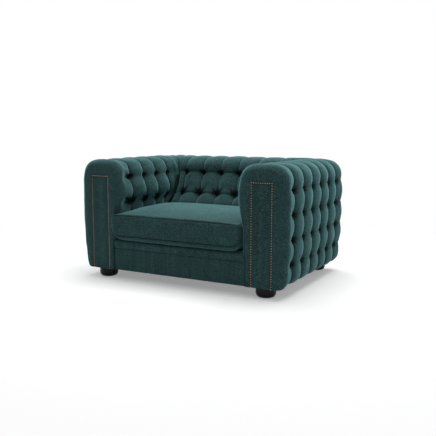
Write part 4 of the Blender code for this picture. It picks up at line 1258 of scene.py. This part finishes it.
def band_section(low, high, top_round, base_round, pillow):
    """Return a band's section as depth, height and painted shade: front with round edges, then its flat rear.
    """
    base_steps = 7
    flat_steps = 10
    top_steps = 9
    squareness = 0.7
    edge_shade = 0.3
    shade_width = 0.004
    section = []
    for angle in np.linspace(0.0, math.pi / 2, base_steps):
        section.append((base_round * (1 - math.sin(angle)), low.z + base_round * (1 - math.cos(angle))))
    for share in np.linspace(0.0, 1.0, flat_steps)[1:-1]:
        section.append((0.0, mix(low.z + base_round, high.z - top_round, share)))
    for angle in np.linspace(0.0, math.pi / 2, top_steps):
        section.append((top_round * (1 - math.cos(angle)), high.z - top_round * (1 - math.sin(angle))))
    shaped = []
    for back, z in section:
        share = (z - low.z) / (high.z - low.z)
        bulge = pillow * math.sin(math.pi * share) ** squareness if 0.0 < share < 1.0 else 0.0
        # Painted shade near the band's top and bottom edges
        edge = min(z - low.z, high.z - z)
        shaped.append((low.y + back - bulge, z, edge_shade * math.exp(-edge / shade_width)))
    return shaped + [(high.y, high.z, 0.0), (high.y, low.z, 0.0)]


def swept_band(name, section, half, pull, material):
    """Return a section swept across the seat, uneven and pulled in along upright lines, its ends closed."""
    pull_pitch = 0.134
    pull_width = 0.007
    count = 260
    places = np.linspace(-half, half, count)
    size = len(section)
    columns = np.array([[(x, y, z) for y, z, _ in section] for x in places])
    columns[..., 1] -= ripple(columns * np.array([1.0, 0.0, 1.0]), wavelength=0.07, height=0.0016)
    line = np.abs((places / pull_pitch) % 1.0 - 0.5) * pull_pitch
    columns[..., 1] += pull * bell(line, pull_width)[:, None]
    columns[:, -2:, 1] = section[-1][0]
    faces = ring_faces(count, size)
    last = (count - 1) * size
    faces += [tuple(range(size)), tuple(last + j for j in reversed(range(size)))]
    piece = mesh_object(name, columns.reshape(-1, 3), faces, material, sharp=60.0)
    keep_point_values(piece, "fold", np.tile([value for _, _, value in section], count))
    keep_point_values(piece, "nap", np.ones(size * count))
    return piece


class SNUGGLE_OT_seat_deck(Operator):
    """Add the seat deck that lies under the cushion."""

    bl_idname = "snuggle.seat_deck"
    bl_label = "Seat Deck"

    def execute(self, context):
        corner = 0.020
        edge_drop = 0.006
        edge_width = 0.012
        edge_shade = 0.5
        shade_width = 0.010
        sag = 0.004
        half = DECK_HIGH.x
        depth = DECK_HIGH.y - DECK_LOW.y
        x, y = np.meshgrid(bunched(-half, half, 40), bunched(DECK_LOW.y, DECK_HIGH.y, 30), indexing="ij")
        edge = np.minimum(half - np.abs(x), np.minimum(DECK_HIGH.y - y, y - DECK_LOW.y))
        edge = np.maximum(edge, 0.0)
        cut = np.clip(np.abs(x) - half + y - DECK_HIGH.y + 2 * corner, 0.0, corner) / 2
        sunk = sag * np.cos(math.pi * x / (2 * half)) * np.sin(math.pi * (y - DECK_LOW.y) / depth)
        z = DECK_HIGH.z - edge_drop * np.exp(-edge / edge_width) - sunk
        columns = np.stack([x - np.copysign(cut, x), y - cut, z], axis=-1)
        # Painted shade towards the deck's edges
        folds = edge_shade * np.exp(-edge / shade_width)
        velvet = finish_named(context, "teal_velvet")
        piece = slab("seat_deck", columns, folds, axis=2, rear=DECK_LOW.z, material=velvet)
        dress(piece, CHAIR, "velvet", "deck_pad")
        return {"FINISHED"}


class SNUGGLE_OT_seat_cushion(Operator):
    """Add the loose seat cushion, filled by a cloth simulation."""

    bl_idname = "snuggle.seat_cushion"
    bl_label = "Seat Cushion"

    def execute(self, context):
        low_seam_strength = 0.80
        sizes = context.scene.snuggle_chair.cushion
        points, faces, seam, free = cushion_cover(sizes)
        velvet = finish_named(context, "teal_velvet_stroked")
        piece = mesh_object("loose_seat_cushion", points, faces, velvet)
        keep_point_values(piece, "seam", seam)
        above = (np.array(points)[:, 2] - CUSHION_LOW.z - sizes.belly) / sizes.boxing
        keep_point_values(piece, "seam_strength", mix(low_seam_strength, 1.0, ease(above)))
        fill_with_cloth(context, piece, free, sizes)
        smooth = piece.modifiers.new("smooth", "SUBSURF")
        smooth.levels = 2
        smooth.render_levels = 2
        apply_modifiers(context, piece)
        draw_seams_in(piece, sizes)
        dress(piece, CUSHION, "velvet", "seat_cushion")
        return {"FINISHED"}


def cushion_cover(sizes):
    """Return the cut cover: points, faces, distance from a seam and how free filling leaves each point."""
    half_x = (CUSHION_HIGH.x - CUSHION_LOW.x) / 2
    half_y = (CUSHION_HIGH.y - CUSHION_LOW.y) / 2
    middle_y = (CUSHION_HIGH.y + CUSHION_LOW.y) / 2
    free_edge = 0.03
    shares_x = panel_shares(half_x, count=50)
    shares_y = panel_shares(half_y, count=32)
    across = len(shares_x)
    forth = len(shares_y)
    rings = cushion_rings(sizes)
    round_steps = perimeter(across, forth)
    count = len(round_steps)
    points = []
    seam = []
    free = []
    for inset, z, distance, loose in rings:
        corner = cushion_corner(sizes, z)
        for i, j in round_steps:
            x, y = soft_corner(shares_x[i], shares_y[j], half_x - inset, half_y - inset, corner)
            points.append(settled(sizes, half_x, x, middle_y + y, z))
            seam.append(distance)
            free.append(loose)
    faces = ring_faces(len(rings), count)
    for ring, crown in ((0, 0.0), (len(rings) - 1, sizes.start_crown)):
        inset, z = rings[ring][:2]
        corner = cushion_corner(sizes, z)
        index = [[0] * forth for _ in range(across)]
        for number, (i, j) in enumerate(round_steps):
            index[i][j] = ring * count + number
        for i in range(1, across - 1):
            for j in range(1, forth - 1):
                x, y = soft_corner(shares_x[i], shares_y[j], half_x - inset, half_y - inset, corner)
                edge_x = half_x - inset - abs(x)
                edge_y = half_y - inset - abs(y)
                rise = crown * crown_share(edge_x) * crown_share(edge_y)
                index[i][j] = len(points)
                points.append(settled(sizes, half_x, x, middle_y + y, z + rise))
                seam.append(min(edge_x, edge_y) if crown else sizes.belly)
                free.append(min(min(edge_x, edge_y) / free_edge, 1.0) if crown else 0.0)
        faces += grid_faces(index)
    return points, faces, seam, free


def panel_shares(half, count):
    """Return places across a panel as shares of its half width, closer together at its seams."""
    near = np.array([0.0, 0.006, 0.016, 0.030])
    even = half - 0.046
    inner = np.linspace(-even, even, count + 1 - 2 * len(near))
    return np.concatenate([near - half, inner, half - near[::-1]]) / half


def soft_corner(share_x, share_y, half_x, half_y, corner):
    """Return a place on a panel whose upright corners are rounded."""
    x = share_x * half_x
    y = share_y * half_y
    over_x = max(abs(x) - half_x + corner, 0.0)
    over_y = max(abs(y) - half_y + corner, 0.0)
    if min(over_x, over_y) <= 0.0:
        return x, y
    scale = max(over_x, over_y) / math.hypot(over_x, over_y)
    return (math.copysign(half_x - corner + over_x * scale, x),
            math.copysign(half_y - corner + over_y * scale, y))


def settled(sizes, half_x, x, y, z):
    """Return where a point of the cut cover lies once the cushion has settled between the arms.

    The front left corner spreads in front of its arm, the right end stands off the other arm, and
    both ends turn up from the deck.
    """
    gap_length = 0.35
    nose_end = 0.004
    nose_length = 0.016
    if x > 0.0:
        shift = sizes.right_gap * float(ease((gap_length - y) / gap_length))
    else:
        shift = sizes.nose_spread * float(ease((nose_end - y) / nose_length))
    lift = float(quarter((abs(x) - half_x) / sizes.end_round + 1.0, sizes.end_round))
    low = max(1.0 - (z - CUSHION_LOW.z) / (sizes.belly + sizes.boxing / 2), 0.0)
    return x - shift * (abs(x) / half_x) ** 3, y, z + lift * low


def cushion_corner(sizes, z):
    """Return the radius of the cushion's upright corners at a height."""
    share = (z - CUSHION_LOW.z) / (sizes.belly + sizes.boxing)
    return mix(sizes.low_corner, sizes.corner, min(share, 1.0))


def crown_share(edge):
    """Return how much of the crown's rise is reached at a distance from the seam."""
    crown_width = 0.22
    fullness = 0.6
    return math.sin(math.pi / 2 * min(max(edge, 0.0) / crown_width, 1.0)) ** fullness


def cushion_rings(sizes):
    """Return the cover's rings from its underside up, as inset, height, seam distance and freedom."""
    draw_in = 0.004
    under_round = 0.035
    seam_free = 0.1
    band_free = 0.15
    low_seam = CUSHION_LOW.z + sizes.belly
    rings = []
    for share in (0.0, 0.06, 0.20, 0.45):
        inset = under_round * (1.0 - math.sqrt(1.0 - (1.0 - share) ** 3))
        below = sizes.belly * (1.0 - share)
        rings.append((inset, low_seam - below, below, 0.0))
    rings.append((0.001, low_seam - 0.006, 0.006, seam_free))
    rings.append((draw_in, low_seam, 0.0, seam_free))
    near = (0.006, 0.016)
    middle = np.linspace(0.030, sizes.boxing - 0.030, 6)
    for height in (*near, *middle, *(sizes.boxing - step for step in reversed(near))):
        inset = draw_in * (1.0 - math.sqrt(math.sin(math.pi * height / sizes.boxing)))
        rings.append((inset, low_seam + height, min(height, sizes.boxing - height), band_free))
    rings.append((draw_in, low_seam + sizes.boxing, 0.0, seam_free))
    return rings


def fill_with_cloth(context, piece, free, sizes):
    """Fill a cover by pressure, its seams and underside held, and cap how far a point may move."""
    loosest = 0.9
    rest = point_places(piece.data)
    held = piece.vertex_groups.new(name="held")
    for index, loose in enumerate(free):
        held.add([index], 1.0 - loosest * loose, "REPLACE")
    cloth = piece.modifiers.new("filling", "CLOTH")
    settings = cloth.settings
    settings.quality = 6
    settings.mass = 0.3
    settings.tension_stiffness = 20.0
    settings.compression_stiffness = 20.0
    settings.shear_stiffness = 8.0
    settings.bending_stiffness = 1.0
    settings.use_pressure = True
    settings.uniform_pressure_force = sizes.pressure
    settings.effector_weights.gravity = 0.0
    settings.vertex_group_mass = held.name
    settings.pin_stiffness = 1.0
    cloth.collision_settings.use_collision = False
    cloth.point_cache.frame_start = 1
    cloth.point_cache.frame_end = sizes.frames
    for step in range(1, sizes.frames + 1):
        context.scene.frame_set(step)
    filled = point_places(piece.evaluated_get(context.evaluated_depsgraph_get()).data)
    piece.modifiers.remove(cloth)
    piece.vertex_groups.remove(held)
    context.scene.frame_set(1)
    move = filled - rest
    moved = np.linalg.norm(move, axis=1, keepdims=True)
    capped = rest + move * np.minimum(1.0, sizes.swell_cap / np.maximum(moved, 1e-9))
    piece.data.vertices.foreach_set("co", capped.ravel())
    piece.data.update()


def apply_modifiers(context, piece):
    """Replace a piece's mesh by what its modifiers make of it."""
    evaluated = piece.evaluated_get(context.evaluated_depsgraph_get())
    mesh = bpy.data.meshes.new_from_object(evaluated)
    piece.modifiers.clear()
    piece.data = mesh


def draw_seams_in(piece, sizes):
    """Draw low-lipped grooves along a cushion's seams; its top's strokes and painted light grow towards the
    back.
    """
    lip_height = 0.0006
    lip_place = 2.6
    lip_width = 1.4
    groove_shade = 0.85
    front_nap_and_light = 0.3
    back_nap_and_light = 1.2
    nap_and_light_slope = 0.7
    mesh = piece.data
    width = sizes.seam_width
    seam = point_values(mesh, "seam")
    points = point_places(mesh)
    normals = np.array([vertex.normal for vertex in mesh.vertices])
    groove = point_values(mesh, "seam_strength") * bell(seam, width)
    lip = bell(seam - lip_place * width, lip_width * width)
    upward = np.clip(normals[:, 2] * 2.0 - 0.4, 0.0, 1.0)
    wavy = ripple(points, wavelength=0.13, height=0.0028) + ripple(points, wavelength=0.045, height=0.0005)
    move = lip_height * lip - sizes.seam_depth * groove + wavy * upward * (1.0 - groove)
    mesh.vertices.foreach_set("co", (points + normals * move[:, None]).ravel())
    mesh.update()
    # Painted shade in the seams' grooves
    keep_point_values(piece, "fold", groove_shade * groove)
    # The top's nap value grows towards the back: painted light together with the strokes
    backward = (points[:, 1] - BODY_PLACE.y - CUSHION_LOW.y) / (CUSHION_HIGH.y - CUSHION_LOW.y)
    nap_and_top_light = np.clip(normals[:, 2] * 3.0 - 2.0, 0.0, 1.0)
    keep_point_values(piece, "nap", nap_and_top_light * mix(front_nap_and_light, back_nap_and_light, ease(backward / nap_and_light_slope)))


class SNUGGLE_OT_bun_feet(Operator):
    """Add the turned feet."""

    bl_idname = "snuggle.bun_feet"
    bl_label = "Bun Feet"

    def execute(self, context):
        for place in ("front", "rear"):
            for word, _ in SIDES:
                node = "%s_%s_foot" % (place, word)
                low, high = body_box(node)
                centre = (low + high) / 2
                profile = foot_profile(high.z - low.z, (high.x - low.x) / 2)
                points, faces = turned(profile, segments=64)
                points = np.array(points) + np.array((centre.x, centre.y, low.z))
                lacquer = finish_named(context, "black_lacquer")
                piece = mesh_object(node.replace("foot", "bun_foot"), points, faces, lacquer, sharp=50.0)
                dress(piece, CHAIR, "foot_black", node)
        return {"FINISHED"}


def foot_profile(height, radius):
    """Return a bun foot's profile as radius and height, from its base up to its neck."""
    base = 0.036
    neck = 0.052
    profile = [(base - 0.004, 0.0), (base - 0.0012, 0.0005), (base, 0.0024)]
    for share in np.linspace(0.07, 0.95, 22):
        edge = mix(base, neck, share)
        profile.append((mix(edge, radius, math.sqrt(math.sin(math.pi * share))), height * share))
    return profile + [(neck, height - 0.0008), (neck - 0.0010, height)]


def turned(profile, segments):
    """Return points and faces of a profile turned about z and closed at both ends."""
    points = []
    for radius, height in profile:
        for i in range(segments):
            angle = 2 * math.pi * i / segments
            points.append((radius * math.cos(angle), radius * math.sin(angle), height))
    faces = ring_faces(len(profile), segments)
    faces += [tuple(range(segments)), tuple(range(len(points) - segments, len(points)))]
    return points, faces


class SNUGGLE_OT_frame_finish(Operator):
    """Give the frame's wood, springs, bolts and dust cover their finishes."""

    bl_idname = "snuggle.frame_finish"
    bl_label = "Frame Finish"

    def execute(self, context):
        finishes = {
            "frame_wood": "planed_hardwood", "spring_steel": "drawn_steel", "dust_cloth": "nonwoven_cloth"}
        for part in frame["record"]["subparts"]:
            if part["material_slot"] in finishes:
                materials = frame["nodes"][part["node"]].data.materials
                materials.clear()
                materials.append(finish_named(context, finishes[part["material_slot"]]))
        return {"FINISHED"}


# Soft lights: name, place, the point that it faces, width and length, and power in watts
SOFTBOXES = (
    ("overhead_softbox", (0.1, 0.55, 3.0), (0.0, 0.15, 0.4), (3.4, 2.6), 119.0),
    ("right_softbox", (2.9, 0.4, 1.5), (0.3, 0.0, 0.35), (2.6, 2.0), 11.0),
    ("left_softbox", (-2.9, 0.6, 2.2), (-0.3, 0.0, 0.35), (2.6, 2.0), 26.0),
    ("front_softbox", (0.2, -2.6, 2.7), (0.0, 0.3, 0.4), (2.4, 1.6), 17.0),
)
WHITE = (1.0, 1.0, 1.0, 1.0)


class SNUGGLE_OT_studio(Operator):
    """Add the floor, the lights, the surroundings and the camera."""

    bl_idname = "snuggle.studio"
    bl_label = "Studio"

    def execute(self, context):
        scene = context.scene
        scene.view_settings.view_transform = "Standard"
        add_floor(scene)
        add_surroundings(scene)
        for softbox in SOFTBOXES:
            add_softbox(scene, *softbox)
        add_camera(scene)
        return {"FINISHED"}


def mix_shaders(tree, share, first, second):
    """Return a shader between two shaders."""
    node = tree.nodes.new("ShaderNodeMixShader")
    for value, socket in zip((share, first, second), node.inputs):
        tree.links.new(value, socket)
    return node.outputs[0]


def background_rays(tree):
    """Return 1 for rays that show the background: camera, mirror and see-through rays."""
    path = tree.nodes.new("ShaderNodeLightPath").outputs
    return arithmetic(
        tree, "MAXIMUM", path["Is Camera Ray"], path["Is Glossy Ray"], path["Is Transmission Ray"])


def add_floor(scene):
    """Add a pale floor that keeps the chair's shadow and fades into the white surroundings."""
    reach = 14.0
    fade_start = 1.4
    fade_end = 2.6
    mesh = bpy.data.meshes.new("studio_floor")
    corners = [(-reach, -reach, 0), (reach, -reach, 0), (reach, reach, 0), (-reach, reach, 0)]
    mesh.from_pydata(corners, [], [(0, 1, 2, 3)])
    material, tree, shader = new_material("studio_floor")
    set_inputs(tree, shader, Base_Color=(0.80, 0.80, 0.80, 1.0), Roughness=0.9, Specular_IOR_Level=0.1)
    distance = tree.nodes.new("ShaderNodeVectorMath")
    distance.operation = "LENGTH"
    tree.links.new(tree.nodes.new("ShaderNodeTexCoord").outputs["Object"], distance.inputs[0])
    far = add_node(
        tree, "ShaderNodeMapRange", Value=distance.outputs["Value"], From_Min=fade_start, From_Max=fade_end)
    glow = add_node(tree, "ShaderNodeEmission", Color=WHITE, Strength=0.28)
    white = add_node(tree, "ShaderNodeEmission", Color=WHITE, Strength=1.0)
    lifted = tree.nodes.new("ShaderNodeAddShader")
    tree.links.new(shader.outputs[0], lifted.inputs[0])
    tree.links.new(glow.outputs[0], lifted.inputs[1])
    faded = mix_shaders(tree, far.outputs["Result"], lifted.outputs[0], white.outputs[0])
    seen = mix_shaders(tree, background_rays(tree), shader.outputs[0], faded)
    tree.links.new(seen, tree.nodes["Material Output"].inputs["Surface"])
    mesh.materials.append(material)
    floor = bpy.data.objects.new("studio_floor", mesh)
    scene.collection.objects.link(floor)


def add_surroundings(scene):
    """Make the surroundings white where they are seen and a soft grey fill where they light."""
    world = bpy.data.worlds.new("studio_surroundings")
    world.use_nodes = True
    tree = world.node_tree
    fill = tree.nodes["Background"]
    set_inputs(tree, fill, Color=(0.95, 0.98, 1.0, 1.0), Strength=0.145)
    white = add_node(tree, "ShaderNodeBackground", Color=WHITE, Strength=1.0)
    seen = mix_shaders(tree, background_rays(tree), fill.outputs[0], white.outputs[0])
    tree.links.new(seen, tree.nodes["World Output"].inputs["Surface"])
    scene.world = world


def add_softbox(scene, name, place, target, size, power):
    """Add a rectangular soft light that faces a target."""
    light = bpy.data.lights.new(name, "AREA")
    light.shape = "RECTANGLE"
    light.size, light.size_y = size
    light.energy = power
    lamp = bpy.data.objects.new(name, light)
    lamp.location = place
    lamp.rotation_euler = (Vector(target) - Vector(place)).to_track_quat("-Z", "Y").to_euler()
    scene.collection.objects.link(lamp)


def add_camera(scene):
    """Add the camera at the viewing angle."""
    data = bpy.data.cameras.new("studio_camera")
    data.sensor_width = 36.0
    data.lens = 52.164
    camera = bpy.data.objects.new("studio_camera", data)
    camera.location = Vector((1.90066, -2.94679, 0.82577)) + BODY_PLACE
    camera.rotation_euler = (1.4317, 0.0, 0.5045)
    scene.collection.objects.link(camera)
    scene.camera = camera


class SNUGGLE_PT_chair(Panel):
    """List the chair's pieces and settings."""

    bl_idname = "SNUGGLE_PT_chair"
    bl_label = "Snuggle Chair"
    bl_space_type = "VIEW_3D"
    bl_region_type = "UI"
    bl_category = "Chair"

    def draw(self, context):
        layout = self.layout
        settings = context.scene.snuggle_chair
        for group in (settings.tufts, settings.cushion, settings.nails, settings.finish):
            box = layout.box()
            for name in group.__annotations__:
                box.prop(group, name)
        for operator in OPERATORS:
            layout.operator(operator.bl_idname)


OPERATORS = (
    SNUGGLE_OT_tufted_cover,
    SNUGGLE_OT_arm_facings,
    SNUGGLE_OT_nail_rows,
    SNUGGLE_OT_seat_front,
    SNUGGLE_OT_seat_deck,
    SNUGGLE_OT_seat_cushion,
    SNUGGLE_OT_bun_feet,
    SNUGGLE_OT_frame_finish,
    SNUGGLE_OT_studio,
)
GROUPS = (TuftSettings, CushionSettings, NailSettings, FinishSettings, ChairSettings)
CLASSES = (*GROUPS, *OPERATORS, SNUGGLE_PT_chair)


def register():
    """Register the classes and the chair's settings."""
    for item in CLASSES:
        bpy.utils.register_class(item)
    bpy.types.Scene.snuggle_chair = PointerProperty(type=ChairSettings)


def unregister():
    """Remove the chair's settings and the classes."""
    del bpy.types.Scene.snuggle_chair
    for item in reversed(CLASSES):
        bpy.utils.unregister_class(item)


def main():
    """Build every piece in order."""
    register()
    bpy.ops.snuggle.tufted_cover()
    bpy.ops.snuggle.arm_facings()
    bpy.ops.snuggle.nail_rows()
    bpy.ops.snuggle.seat_front()
    bpy.ops.snuggle.seat_deck()
    bpy.ops.snuggle.seat_cushion()
    bpy.ops.snuggle.bun_feet()
    bpy.ops.snuggle.frame_finish()
    bpy.ops.snuggle.studio()


if __name__ == "__main__":
    main()
